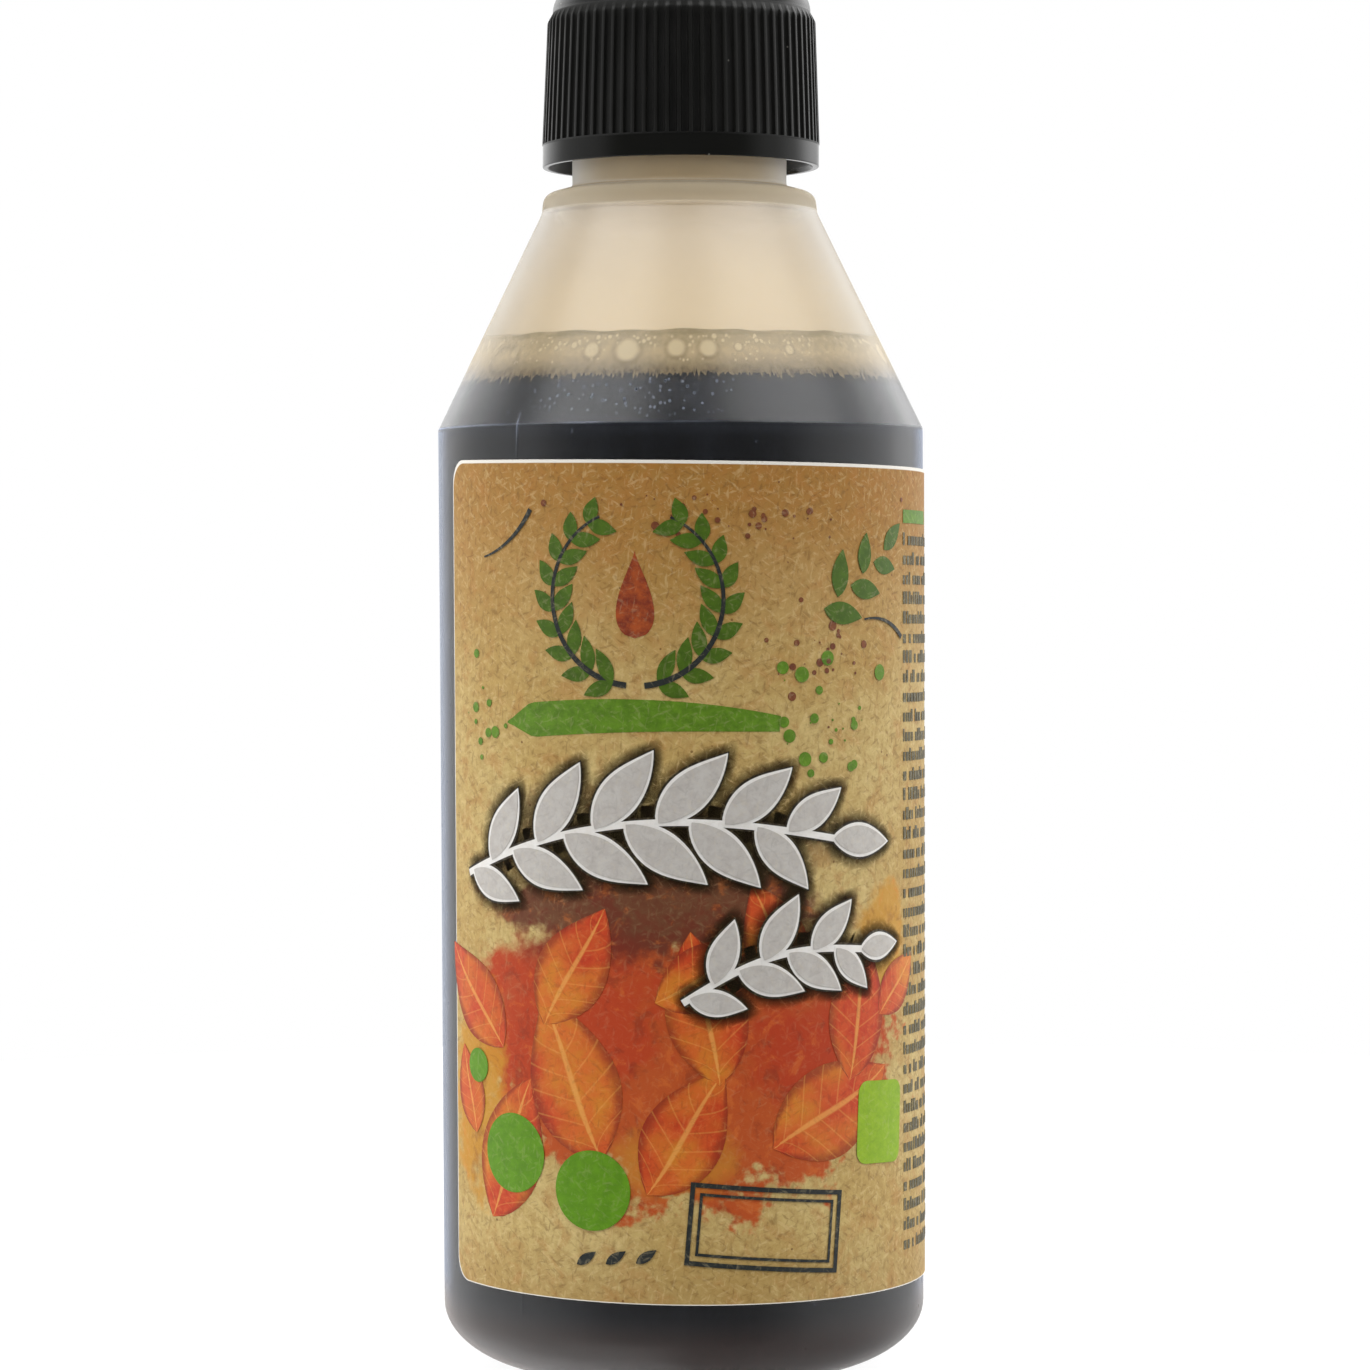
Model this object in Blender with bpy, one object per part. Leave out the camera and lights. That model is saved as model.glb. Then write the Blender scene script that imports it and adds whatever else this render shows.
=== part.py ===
"""A 250 ml plastic squeeze bottle of syrup, with a ribbed screw cap and a wrap-around label.

The bottle stands on the XY plane with its axis along +Z, and its front faces -Y. Lengths are in
metres. The body is a slightly tapered cylinder on a rounded base. A straight cone leads up from
the shoulder's crease to a small collar and the neck, and the cap hangs over the neck. Syrup
fills the bottle to just above the crease, and a layer of froth lies on the syrup.

Each turned piece is an outline of (radius, height) points that starts and ends on the axis. An
azimuth is counted from the front, towards +X.
"""

import math

import bmesh
import bpy
from mathutils import Vector

MM = 0.001

# Space between pieces that rest on or in each other
GAP = 0.3 * MM

# Base and body
FOOT_RADIUS = 27.6 * MM
BODY_RADIUS = 27.75 * MM
CORNER_RUN = 12.0 * MM
CORNER_RISE = 7.2 * MM
STANDING_RING_WIDTH = 4.0 * MM
PUSH_UP_RISE = 1.6 * MM
WALL = 0.8 * MM
BODY_SEGMENTS = 44

# Shoulder cone, collar and neck
CREASE_HEIGHT = 107.1 * MM
CREASE_EASE = 0.8 * MM
CONE_TOP_RADIUS = 15.75 * MM
CONE_TOP_HEIGHT = 131.8 * MM
COLLAR_RADIUS = 15.6 * MM
COLLAR_HEIGHT = 133.9 * MM
COLLAR_EASE = 1.0 * MM
NECK_RADIUS = 12.25 * MM
NECK_FOOT_HEIGHT = 134.8 * MM
NECK_EASE = 0.3 * MM
NECK_WALL = 1.1 * MM

# Contents
SYRUP_LEVEL = 112.35 * MM
FROTH_TOP = 117.2 * MM

# Screw cap: a plain rim, a ribbed skirt that draws in upwards, and a smooth rounded top
CAP_FOOT_HEIGHT = 137.05 * MM
CAP_HEIGHT = 20.9 * MM
RIM_RADIUS = 15.82 * MM
RIM_HEIGHT = 2.4 * MM
RIB_COUNT = 75
RIB_RELIEF = 0.35 * MM
RIB_FOOT_RADIUS = 15.88 * MM
RIB_FOOT_HEIGHT = 2.7 * MM
RIB_TOP_RADIUS = 15.34 * MM
RIB_TOP_HEIGHT = 16.5 * MM
CAP_TOP_RADIUS = 14.75 * MM
CAP_TOP_FOOT_HEIGHT = 17.55 * MM
CAP_TOP_RUN = 3.1 * MM
CAP_BORE_RADIUS = 14.2 * MM
CAP_MOUTH_RADIUS = 15.15 * MM
CAP_MOUTH_HEIGHT = 2.0 * MM
CAP_TOP_THICKNESS = 1.5 * MM

# Label: a thin sheet round most of the body, with rounded corners
LABEL_BOTTOM = 11.0 * MM
LABEL_HEIGHT = 91.95 * MM
LABEL_THICKNESS = 0.2 * MM
LABEL_CORNER = 2.7 * MM
# The label is stuck on slightly askew, and drops by this much for each length to the right
LABEL_SKEW = 0.0148
LABEL_START = math.radians(-66.0)
LABEL_END = math.radians(250.0)
LABEL_COLUMNS = 42
CORNER_COLUMNS = 3

# Points nearer than this are one point
MERGE_DISTANCE = 0.001 * MM
SHARP_ANGLE = math.radians(30.0)

CONE_SLOPE = (BODY_RADIUS - CONE_TOP_RADIUS) / (CONE_TOP_HEIGHT - CREASE_HEIGHT)
CONE_LEAN = math.atan(CONE_SLOPE)


def clear_scene():
    """Start from an empty scene."""
    for item in list(bpy.data.objects):
        bpy.data.objects.remove(item, do_unlink=True)


def finish(name, colour, roughness, alpha=1.0):
    """A plastic, paper or liquid material in one colour."""
    material = bpy.data.materials.new(name)
    material.use_nodes = True
    shader = material.node_tree.nodes["Principled BSDF"]
    shader.inputs["Base Color"].default_value = (*colour, 1.0)
    shader.inputs["Roughness"].default_value = roughness
    shader.inputs["Metallic"].default_value = 0.0
    shader.inputs["Alpha"].default_value = alpha
    return material


def add_piece(name, shape, material, height=0.0):
    """Put a bmesh into the scene as one smooth-shaded object at a height on the axis."""
    mesh = bpy.data.meshes.new(name)
    shape.to_mesh(mesh)
    shape.free()
    mesh.materials.append(material)
    mesh.shade_smooth()
    mesh.set_sharp_from_angle(angle=SHARP_ANGLE)
    piece = bpy.data.objects.new(name, mesh)
    piece.location.z = height
    bpy.context.collection.objects.link(piece)
    return piece


def elliptic_arc(centre, radii, start, end, steps):
    """Points on an ellipse about centre, from one angle in degrees to another."""
    angles = [math.radians(start + (end - start) * k / steps) for k in range(steps + 1)]
    return [(centre[0] + radii[0] * math.cos(a), centre[1] + radii[1] * math.sin(a)) for a in angles]


def eased_outline(corners, steps=3):
    """Outline through corners of (radius, height, ease).

    A corner with an ease is rounded by a parabola that leaves its two sides at that distance.
    """
    outline = []
    for index, (radius, height, ease) in enumerate(corners):
        corner = Vector((radius, height))
        if ease == 0.0:
            outline.append((radius, height))
            continue
        before = (Vector(corners[index - 1][:2]) - corner).normalized() * ease
        after = (Vector(corners[index + 1][:2]) - corner).normalized() * ease
        for k in range(steps + 1):
            t = k / steps
            outline.append(tuple(corner + before * (1.0 - t) ** 2 + after * t ** 2))
    return outline


def turned(outline, segments):
    """Closed body turned about the axis from an outline that starts and ends on it."""
    shape = bmesh.new()
    points = [shape.verts.new((radius, 0.0, height)) for radius, height in outline]
    lines = [shape.edges.new(pair) for pair in zip(points, points[1:])]
    bmesh.ops.spin(shape, geom=points + lines, cent=(0.0, 0.0, 0.0), axis=(0.0, 0.0, 1.0),
                   angle=math.tau, steps=segments, use_merge=True)
    bmesh.ops.remove_doubles(shape, verts=shape.verts, dist=MERGE_DISTANCE)
    bmesh.ops.recalc_face_normals(shape, faces=shape.faces)
    return shape


def body_radius(height):
    """Outer radius of the body, which widens evenly from its foot to the crease."""
    share = (height - CORNER_RISE) / (CREASE_HEIGHT - CORNER_RISE)
    return FOOT_RADIUS + (BODY_RADIUS - FOOT_RADIUS) * share


def cone_radius(height, depth):
    """Radius of the shoulder cone at a depth below its outer skin."""
    return BODY_RADIUS - CONE_SLOPE * (height - CREASE_HEIGHT) - depth / math.cos(CONE_LEAN)


def crease_height(depth):
    """Height at which body wall and cone meet, at a depth below the outer skin."""
    return CREASE_HEIGHT - depth * (1.0 / math.cos(CONE_LEAN) - 1.0) / CONE_SLOPE


def base_outline(depth):
    """Base and rounded corner at a depth below the outer skin, from the axis outwards.

    The middle is pushed up in a cosine dome, and round it lies a flat standing ring.
    """
    ring_outer = FOOT_RADIUS - CORNER_RUN
    ring_inner = ring_outer - STANDING_RING_WIDTH
    dome = [(ring_inner * k / 4, depth + PUSH_UP_RISE * 0.5 * (1.0 + math.cos(math.pi * k / 4)))
            for k in range(5)]
    radii = (CORNER_RUN - depth, CORNER_RISE - depth)
    return dome + elliptic_arc((ring_outer, CORNER_RISE), radii, -90.0, 0.0, 6)


def crease_corner(depth):
    """The shoulder's crease as one eased corner, at a depth below the outer skin."""
    return (BODY_RADIUS - depth, crease_height(depth), CREASE_EASE)


def make_bottle():
    """Hollow bottle with an open mouth: outer skin up to the lip, then down the inside."""
    lip_height = CAP_FOOT_HEIGHT + CAP_HEIGHT - CAP_TOP_THICKNESS - GAP
    foot_joint = (FOOT_RADIUS, CORNER_RISE, 0.0)
    outside = eased_outline([
        foot_joint,
        crease_corner(0.0),
        (CONE_TOP_RADIUS, CONE_TOP_HEIGHT, 0.0),
        (COLLAR_RADIUS, COLLAR_HEIGHT, COLLAR_EASE),
        (NECK_RADIUS, NECK_FOOT_HEIGHT, NECK_EASE),
        (NECK_RADIUS, lip_height, 0.0),
    ])
    bore_radius = NECK_RADIUS - NECK_WALL
    inside = eased_outline([
        (bore_radius, lip_height, 0.0),
        (bore_radius, NECK_FOOT_HEIGHT - WALL, 0.0),
        (COLLAR_RADIUS - WALL, COLLAR_HEIGHT - WALL, NECK_EASE),
        (cone_radius(CONE_TOP_HEIGHT, WALL), CONE_TOP_HEIGHT, 0.0),
        crease_corner(WALL),
        (FOOT_RADIUS - WALL, CORNER_RISE, 0.0),
    ])
    outline = base_outline(0.0)[:-1] + outside + inside[:-1] + base_outline(WALL)[::-1]
    plastic = finish("natural_plastic", (0.82, 0.78, 0.68), 0.35, alpha=0.5)
    return add_piece("bottle", turned(outline, BODY_SEGMENTS), plastic)


def make_syrup():
    """Syrup that fills the bottle up to its level, a gap inside the wall."""
    depth = WALL + GAP
    sides = eased_outline([
        (FOOT_RADIUS - depth, CORNER_RISE, 0.0),
        crease_corner(depth),
        (cone_radius(SYRUP_LEVEL, depth), SYRUP_LEVEL, 0.0),
        (0.0, SYRUP_LEVEL, 0.0),
    ])
    outline = base_outline(depth)[:-1] + sides
    liquid = finish("dark_syrup", (0.022, 0.012, 0.008), 0.08)
    return add_piece("syrup", turned(outline, BODY_SEGMENTS), liquid)


def make_froth():
    """Layer of froth on the syrup, a slice of the cone's inside."""
    depth = WALL + GAP
    low = SYRUP_LEVEL + GAP
    outline = [
        (0.0, low),
        (cone_radius(low, depth), low),
        (cone_radius(FROTH_TOP, depth), FROTH_TOP),
        (0.0, FROTH_TOP),
    ]
    foam = finish("beige_froth", (0.50, 0.38, 0.22), 0.6)
    return add_piece("froth", turned(outline, BODY_SEGMENTS), foam)


def cut_ribs(shape):
    """Press every second line of points on the skirt inwards, so that ribs stand between them."""
    for point in shape.verts:
        radius = math.hypot(point.co.x, point.co.y)
        on_skirt = RIB_FOOT_HEIGHT - GAP / 2 < point.co.z < RIB_TOP_HEIGHT + GAP / 2
        turn = math.atan2(point.co.y, point.co.x) / math.tau
        if on_skirt and radius > CAP_BORE_RADIUS + RIB_RELIEF and round(turn * 2 * RIB_COUNT) % 2:
            point.co.xy = point.co.xy * (1.0 - RIB_RELIEF / radius)


def make_cap():
    """Hollow screw cap, modelled from its foot and seated over the neck."""
    ceiling = CAP_HEIGHT - CAP_TOP_THICKNESS
    walls = [
        (0.0, ceiling),
        (CAP_BORE_RADIUS, ceiling),
        (CAP_BORE_RADIUS, CAP_MOUTH_HEIGHT),
        (CAP_MOUTH_RADIUS, 0.0),
        (RIM_RADIUS, 0.0),
        (RIM_RADIUS, RIM_HEIGHT),
        (RIB_FOOT_RADIUS, RIB_FOOT_HEIGHT),
        (RIB_TOP_RADIUS, RIB_TOP_HEIGHT),
    ]
    top_centre = (CAP_TOP_RADIUS - CAP_TOP_RUN, CAP_TOP_FOOT_HEIGHT)
    rounding = elliptic_arc(top_centre, (CAP_TOP_RUN, CAP_HEIGHT - CAP_TOP_FOOT_HEIGHT), 0.0, 90.0, 4)
    shape = turned(walls + rounding + [(0.0, CAP_HEIGHT)], 2 * RIB_COUNT)
    cut_ribs(shape)
    black = finish("black_plastic", (0.018, 0.018, 0.017), 0.4)
    return add_piece("cap", shape, black, height=CAP_FOOT_HEIGHT)


def label_columns():
    """Azimuths of the label's columns, with a few close ones at each rounded end."""
    corner_angle = LABEL_CORNER / BODY_RADIUS
    corner = [corner_angle * (1.0 - math.cos(math.pi / 2 * k / CORNER_COLUMNS))
              for k in range(CORNER_COLUMNS + 1)]
    first = LABEL_START + corner_angle
    last = LABEL_END - corner_angle
    middle = [first + (last - first) * k / LABEL_COLUMNS for k in range(1, LABEL_COLUMNS)]
    return ([LABEL_START + turn for turn in corner] + middle
            + [LABEL_END - turn for turn in reversed(corner)])


def label_inset(azimuth):
    """How far a column stops short of the label's top and bottom, by the corner's circle."""
    from_end = min(azimuth - LABEL_START, LABEL_END - azimuth) * BODY_RADIUS
    missing = max(LABEL_CORNER - from_end, 0.0)
    return LABEL_CORNER - math.sqrt(max(LABEL_CORNER ** 2 - missing ** 2, 0.0))


def make_label():
    """Label as one strip of columns a gap outside the body, thickened outwards."""
    shape = bmesh.new()
    lines = []
    for azimuth in label_columns():
        inset = label_inset(azimuth)
        ends = []
        for height in (inset, LABEL_HEIGHT - inset):
            radius = body_radius(LABEL_BOTTOM + height) + GAP
            across = (radius * math.sin(azimuth), -radius * math.cos(azimuth))
            drop = LABEL_SKEW * azimuth * BODY_RADIUS
            ends.append(shape.verts.new((*across, height - drop)))
        lines.append(ends)
    for left, right in zip(lines, lines[1:]):
        shape.faces.new((left[0], right[0], right[1], left[1]))
    paper = finish("kraft_paper", (0.48, 0.31, 0.13), 0.7)
    label = add_piece("label", shape, paper, height=LABEL_BOTTOM)
    thicken = label.modifiers.new("Thickness", "SOLIDIFY")
    thicken.thickness = LABEL_THICKNESS
    thicken.offset = 1.0
    return label


def main():
    """Build the pieces and stand them on one empty at the middle of the base."""
    clear_scene()
    stand = bpy.data.objects.new("stand_point", None)
    bpy.context.collection.objects.link(stand)
    for piece in (make_bottle(), make_syrup(), make_froth(), make_cap(), make_label()):
        piece.parent = stand


main()
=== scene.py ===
# %% [markdown]
# # A squeeze bottle of syrup
# This lesson dresses a small plastic squeeze bottle: a translucent bottle with dark syrup and
# froth inside, a ribbed black screw cap and a printed kraft label. The frame that it loads holds
# plain solids at the right size. Each of them gets a finely shaped piece with its own material.
# The bottle stands on the origin, its axis is +Z and its front faces -Y.

# %% Load the frame
import math

import bpy
import numpy as np
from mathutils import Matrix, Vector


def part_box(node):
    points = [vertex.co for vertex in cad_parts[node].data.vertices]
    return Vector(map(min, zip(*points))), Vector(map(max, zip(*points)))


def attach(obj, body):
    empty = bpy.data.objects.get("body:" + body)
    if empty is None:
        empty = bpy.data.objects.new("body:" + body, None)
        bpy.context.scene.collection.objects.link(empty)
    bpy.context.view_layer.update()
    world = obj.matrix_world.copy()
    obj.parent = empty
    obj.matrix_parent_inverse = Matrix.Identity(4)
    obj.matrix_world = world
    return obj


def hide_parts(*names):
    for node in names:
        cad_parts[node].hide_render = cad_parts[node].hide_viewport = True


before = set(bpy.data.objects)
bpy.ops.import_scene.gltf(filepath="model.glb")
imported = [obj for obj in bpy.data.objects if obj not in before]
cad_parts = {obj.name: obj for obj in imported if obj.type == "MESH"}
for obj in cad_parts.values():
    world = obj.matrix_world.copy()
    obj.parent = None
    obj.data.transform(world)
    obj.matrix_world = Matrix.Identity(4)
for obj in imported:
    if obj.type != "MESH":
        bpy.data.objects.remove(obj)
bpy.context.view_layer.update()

MM = 0.001

# %% [markdown]
# ## Sizes
# What the frame can tell is read from it: how wide and tall each solid is. The rest are the
# bottle's own driving sizes, such as the wall's thickness and the heights of crease and collar.
# Reading sizes is better than typing them again, because the pieces then can't drift apart.

# %% Read the main sizes from the frame
BODY_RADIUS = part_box("bottle")[1].x
LIP_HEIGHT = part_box("bottle")[1].z
SYRUP_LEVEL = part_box("syrup")[1].z
FROTH_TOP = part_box("froth")[1].z
CAP_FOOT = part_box("cap")[0].z
CAP_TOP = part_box("cap")[1].z
CAP_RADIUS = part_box("cap")[1].x
print(f"body radius {BODY_RADIUS / MM:.2f} mm, syrup level {SYRUP_LEVEL / MM:.2f} mm,",
      f"cap {CAP_FOOT / MM:.2f} to {CAP_TOP / MM:.2f} mm")

# %% Name the bottle's own sizes
FOOT_RADIUS = 27.6 * MM
CORNER_RUN = 12.0 * MM
CORNER_RISE = 7.2 * MM
RING_WIDTH = 4.0 * MM
PUSH_UP = 1.6 * MM
WALL = 0.8 * MM
CREASE_HEIGHT = 107.1 * MM
CREASE_EASE = 0.22 * MM
CONE_TOP_RADIUS = 15.75 * MM
CONE_TOP_HEIGHT = 131.8 * MM
COLLAR_RADIUS = 15.6 * MM
COLLAR_HEIGHT = 133.9 * MM
NECK_RADIUS = 12.25 * MM
NECK_FOOT = 134.8 * MM
NECK_WALL = 1.1 * MM
# What fills the bottle reaches this far into its wall, so that no air shows between them
BITE = 0.15 * MM

CONE_SLOPE = (BODY_RADIUS - CONE_TOP_RADIUS) / (CONE_TOP_HEIGHT - CREASE_HEIGHT)
CONE_LEAN = math.atan(CONE_SLOPE)
print(f"the shoulder leans {math.degrees(CONE_LEAN):.1f} degrees from upright")

# Heights in millimetres, which the materials work in
LEVEL, TOP, CREASE, CONE_TOP, NECK, CAP = (
    height / MM for height in (SYRUP_LEVEL, FROTH_TOP, CREASE_HEIGHT, CONE_TOP_HEIGHT, NECK_FOOT, CAP_FOOT))

# %% [markdown]
# ## Camera, floor and light
# A product photo like this is taken from a little under half a metre with a long lens, in a
# white tent that is brighter at its upper sides than in front, where the camera looks in. That
# darker front is what keeps the middle of black and glossy things dark. Lamps could do it, but
# one world with a few soft patches of light gives the same reflections with far less noise.

# %% Place the camera
CAMERA_DISTANCE = 483.0 * MM
CAMERA_HEIGHT = 91.6 * MM
CAMERA_PITCH = math.radians(1.637)
CAMERA_ROLL = math.radians(-0.24)
CAMERA_ASIDE = 0.4 * MM
LENS, SENSOR = 110.4, 36.0

scene = bpy.context.scene
camera = bpy.data.objects.new("camera", bpy.data.cameras.new("camera"))
camera.data.lens = LENS
camera.data.sensor_width = SENSOR
camera.data.clip_start = 0.01
camera.location = (CAMERA_ASIDE, -CAMERA_DISTANCE, CAMERA_HEIGHT)
camera.rotation_euler = (math.pi / 2 - CAMERA_PITCH, 0.0, 0.0)
camera.rotation_euler.rotate_axis("Z", CAMERA_ROLL)
scene.collection.objects.link(camera)
scene.camera = camera
scene.view_settings.view_transform = "Standard"
print(f"camera {CAMERA_DISTANCE / MM:.0f} mm away, lens {LENS} mm")


# %% Build node trees with short calls
def rgb(red, green, blue):
    """Linear colour from display values out of 255, as a picture editor shows them."""
    shares = np.array([red, green, blue]) / 255.0
    linear = np.where(shares <= 0.04045, shares / 12.92, ((shares + 0.055) / 1.055) ** 2.4)
    return (*[round(float(v), 4) for v in linear], 1.0)


class Tree:
    """A node tree with short calls for the nodes that the materials use.

    An input is given as a number, a colour or vector, or the output socket of another node.
    """

    def __init__(self, tree):
        self.tree = tree
        tree.nodes.clear()

    def node(self, kind, inputs=None, **settings):
        """Add a node, set its properties and fill its inputs by name or number."""
        node = self.tree.nodes.new(kind)
        for name, value in settings.items():
            setattr(node, name, value)
        for key, value in (inputs or {}).items():
            self.fill(node.inputs[key], value)
        return node

    def fill(self, socket, value):
        """Link an output to the socket, or set its value."""
        if isinstance(value, bpy.types.NodeSocket):
            self.tree.links.new(value, socket)
        else:
            socket.default_value = value

    def math(self, operation, first, second=0.0, third=0.0, clamp=False):
        """One Math node."""
        inputs = {0: first, 1: second, 2: third}
        return self.node("ShaderNodeMath", inputs, operation=operation, use_clamp=clamp).outputs[0]

    def times(self, product, *others):
        """Product of numbers."""
        for other in others:
            product = self.math("MULTIPLY", product, other)
        return product

    def plus(self, total, *others):
        """Sum of numbers."""
        for other in others:
            total = self.math("ADD", total, other)
        return total

    def less(self, first, second):
        """The first number less the second."""
        return self.math("SUBTRACT", first, second)

    def add(self, total, value, share):
        """Total plus a share of a value."""
        return self.math("MULTIPLY_ADD", value, share, total)

    def above(self, value, limit):
        """1 where the value is above a limit, else 0."""
        return self.math("GREATER_THAN", value, limit)

    def vector(self, operation, first, second=(0.0, 0.0, 0.0)):
        """One Vector Math node; a dot product or length comes out as a number."""
        node = self.node("ShaderNodeVectorMath", {0: first, 1: second}, operation=operation)
        return node.outputs["Value" if operation in {"DOT_PRODUCT", "LENGTH"} else "Vector"]

    def split(self, vector):
        """The X, Y and Z of a vector, by name."""
        return self.node("ShaderNodeSeparateXYZ", {0: vector}).outputs

    def ramp(self, value, low, high, start=0.0, end=1.0, smooth=True):
        """Map the range from low to high onto start to end, with soft or straight ends."""
        inputs = {"Value": value, "From Min": low, "From Max": high, "To Min": start, "To Max": end}
        kind = "SMOOTHSTEP" if smooth else "LINEAR"
        return self.node("ShaderNodeMapRange", inputs, interpolation_type=kind).outputs["Result"]

    def mix(self, share, first, second, blend="MIX"):
        """Mix two colours by a share."""
        node = self.node("ShaderNodeMix", data_type="RGBA", blend_type=blend)
        for socket, value in zip((node.inputs["Factor"], node.inputs[6], node.inputs[7]),
                                 (share, first, second)):
            self.fill(socket, value)
        return node.outputs[2]

    def coats(self, colour, *coats):
        """Lay coats over a colour in turn, each a share and a display colour."""
        for share, tone in coats:
            colour = self.mix(share, colour, rgb(*tone))
        return colour

    def grey(self, tone):
        """Grey of a linear brightness."""
        return self.node("ShaderNodeCombineColor", {0: tone, 1: tone, 2: tone}).outputs[0]

    def stretched(self, vector, scale):
        """Vector scaled by three numbers, to draw a pattern out along an axis."""
        return self.node("ShaderNodeMapping", {"Vector": vector, "Scale": scale}).outputs[0]

    def noise(self, vector, scale, detail=3.0, roughness=0.5, distortion=0.0):
        """Noise as a number around 0.5; three scales draw it out along an axis."""
        if isinstance(scale, tuple):
            vector, scale = self.stretched(vector, scale), 1.0
        inputs = {"Vector": vector, "Scale": scale, "Detail": detail,
                  "Roughness": roughness, "Distortion": distortion}
        return self.node("ShaderNodeTexNoise", inputs).outputs["Fac"]

    def cells(self, vector, scale):
        """Voronoi cells: the distance to each one's middle, and its three random numbers."""
        if isinstance(scale, tuple):
            vector, scale = self.stretched(vector, scale), 1.0
        node = self.node("ShaderNodeTexVoronoi", {"Vector": vector, "Scale": scale})
        chances = self.node("ShaderNodeSeparateColor", {0: node.outputs["Color"]}).outputs
        return node.outputs["Distance"], chances

    def stored(self, name):
        """The number that the mesh stores under a name."""
        return self.node("ShaderNodeAttribute", attribute_name=name).outputs["Fac"]

    def bump(self, strength, depth, relief):
        """Normal tilted by a relief, whose full depth is in millimetres."""
        inputs = {"Strength": strength, "Distance": depth * MM, "Height": relief}
        return self.node("ShaderNodeBump", inputs).outputs[0]


class Finish(Tree):
    """The node tree of a new material, and what its patterns are drawn on."""

    def __init__(self, name):
        self.material = bpy.data.materials.new(name)
        self.material.use_nodes = True
        super().__init__(self.material.node_tree)

    def place(self):
        """Object coordinates in metres, and the height above the floor in millimetres."""
        place = self.node("ShaderNodeTexCoord").outputs["Object"]
        return place, self.times(self.split(place)["Z"], 1.0 / MM)

    def slant(self):
        """0 where the surface faces the eye, 1 where it is seen edge on."""
        return self.node("ShaderNodeLayerWeight", {"Blend": 0.5}).outputs["Facing"]

    def flat_map(self, name):
        """Coordinates from one of the label's UV maps."""
        return self.node("ShaderNodeUVMap", uv_map=name).outputs[0]

    def done(self, inputs):
        """Close the tree with one Principled shader, and hand over the material."""
        shader = self.node("ShaderNodeBsdfPrincipled", inputs)
        self.node("ShaderNodeOutputMaterial", {"Surface": shader.outputs[0]})
        return self.material


# %% Light the world as a white tent
# Soft patches of light: azimuth and elevation of the middle in degrees, inner and outer
# angular radius in degrees, and what the patch adds to the tent's own brightness of 1
LIGHT_PATCHES = (
    (-56.0, 48.0, 8.0, 32.0, 2.6),
    (66.0, 48.0, 8.0, 35.0, 2.4),
    (-138.0, 27.0, 10.0, 32.0, 1.0),
    (134.0, 26.0, 10.0, 34.0, 1.5),
    (116.0, -4.0, 8.0, 34.0, 0.5),
    (-166.0, 0.0, 10.0, 24.0, 0.18),
    (0.0, 82.0, 12.0, 30.0, 3.0),
)
# Darker than the tent: the opening that the camera looks in through, and a seam at the back
OPENING = (0.0, -4.0, 49.0, 78.0, -0.91)
TENT_SEAM = (144.0, -6.0, 8.0, 22.0, -0.36)
FLOOR_GLOW = 0.95
# What the floor gives more at either side, loses in front, and differs by from left to right
# straight below
GLOW_LEFT, GLOW_RIGHT = 0.40, 0.30
GLOW_LOST = 0.88
GLOW_BELOW = 0.55


def direction(azimuth, elevation):
    """Unit vector (sin a cos e, -cos a cos e, sin e)."""
    a, e = math.radians(azimuth), math.radians(elevation)
    return (math.sin(a) * math.cos(e), -math.cos(a) * math.cos(e), math.sin(e))


def floor_light(tree, sides):
    """What the floor sends up from each direction: bright at both sides, most of all at the left,
    dark in front, where the camera stands in the way, and lopsided straight below."""
    along = tree.math("SQRT", tree.less(1.0, tree.math("POWER", sides["Z"], 2.0)))
    aside = tree.math("DIVIDE", sides["X"], along)
    in_front = tree.ramp(tree.math("DIVIDE", sides["Y"], along), -0.2, -0.95)
    steep = tree.ramp(sides["Z"], -0.20, -0.75)
    dark = tree.times(in_front, tree.less(1.0, steep))
    left = tree.ramp(aside, -0.1, -1.0, 0.0, GLOW_LEFT, smooth=False)
    right = tree.ramp(aside, 0.1, 1.0, 0.0, GLOW_RIGHT, smooth=False)
    glow = tree.times(tree.plus(left, right, FLOOR_GLOW), tree.add(1.0, dark, -GLOW_LOST))
    return tree.plus(glow, tree.times(steep, tree.ramp(aside, 0.3, -0.7, -GLOW_BELOW, GLOW_BELOW)))


def tent_light():
    """World whose brightness is 1 plus a soft-edged disc for each patch, the floor's light from
    below the horizon, and plain white to the eye."""
    world = bpy.data.worlds.new("white_tent")
    world.use_nodes = True
    tree = Tree(world.node_tree)
    looking = tree.node("ShaderNodeTexCoord").outputs["Generated"]
    sides = tree.split(looking)
    strength = 1.0
    for azimuth, elevation, inner, outer, extra in (*LIGHT_PATCHES, OPENING, TENT_SEAM):
        nearness = tree.vector("DOT_PRODUCT", looking, direction(azimuth, elevation))
        edge, core = math.cos(math.radians(outer)), math.cos(math.radians(inner))
        strength = tree.plus(strength, tree.ramp(nearness, edge, core, 0.0, extra))
    path = tree.node("ShaderNodeLightPath").outputs
    straight = tree.math("MAXIMUM", path["Is Camera Ray"], path["Is Transmission Ray"])
    for share, other in ((tree.ramp(sides["Z"], -0.03, -0.09), floor_light(tree, sides)),
                         (straight, 1.0)):
        seen = tree.node("ShaderNodeMix", {0: share, 2: strength, 3: other}, data_type="FLOAT")
        strength = seen.outputs[0]
    light = tree.node("ShaderNodeBackground", {"Color": rgb(255, 255, 255), "Strength": strength})
    tree.node("ShaderNodeOutputWorld", {"Surface": light.outputs[0]})
    return world


scene.world = tent_light()
print(len(LIGHT_PATCHES), "light patches and two darker places")


# %% Lay the floor
FLOOR_RADIUS = 0.32
FLOOR_DROP = 0.05 * MM


def round_azimuths(count):
    """Azimuths all round, evenly spaced."""
    return np.linspace(0.0, math.tau, count, endpoint=False)


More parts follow.
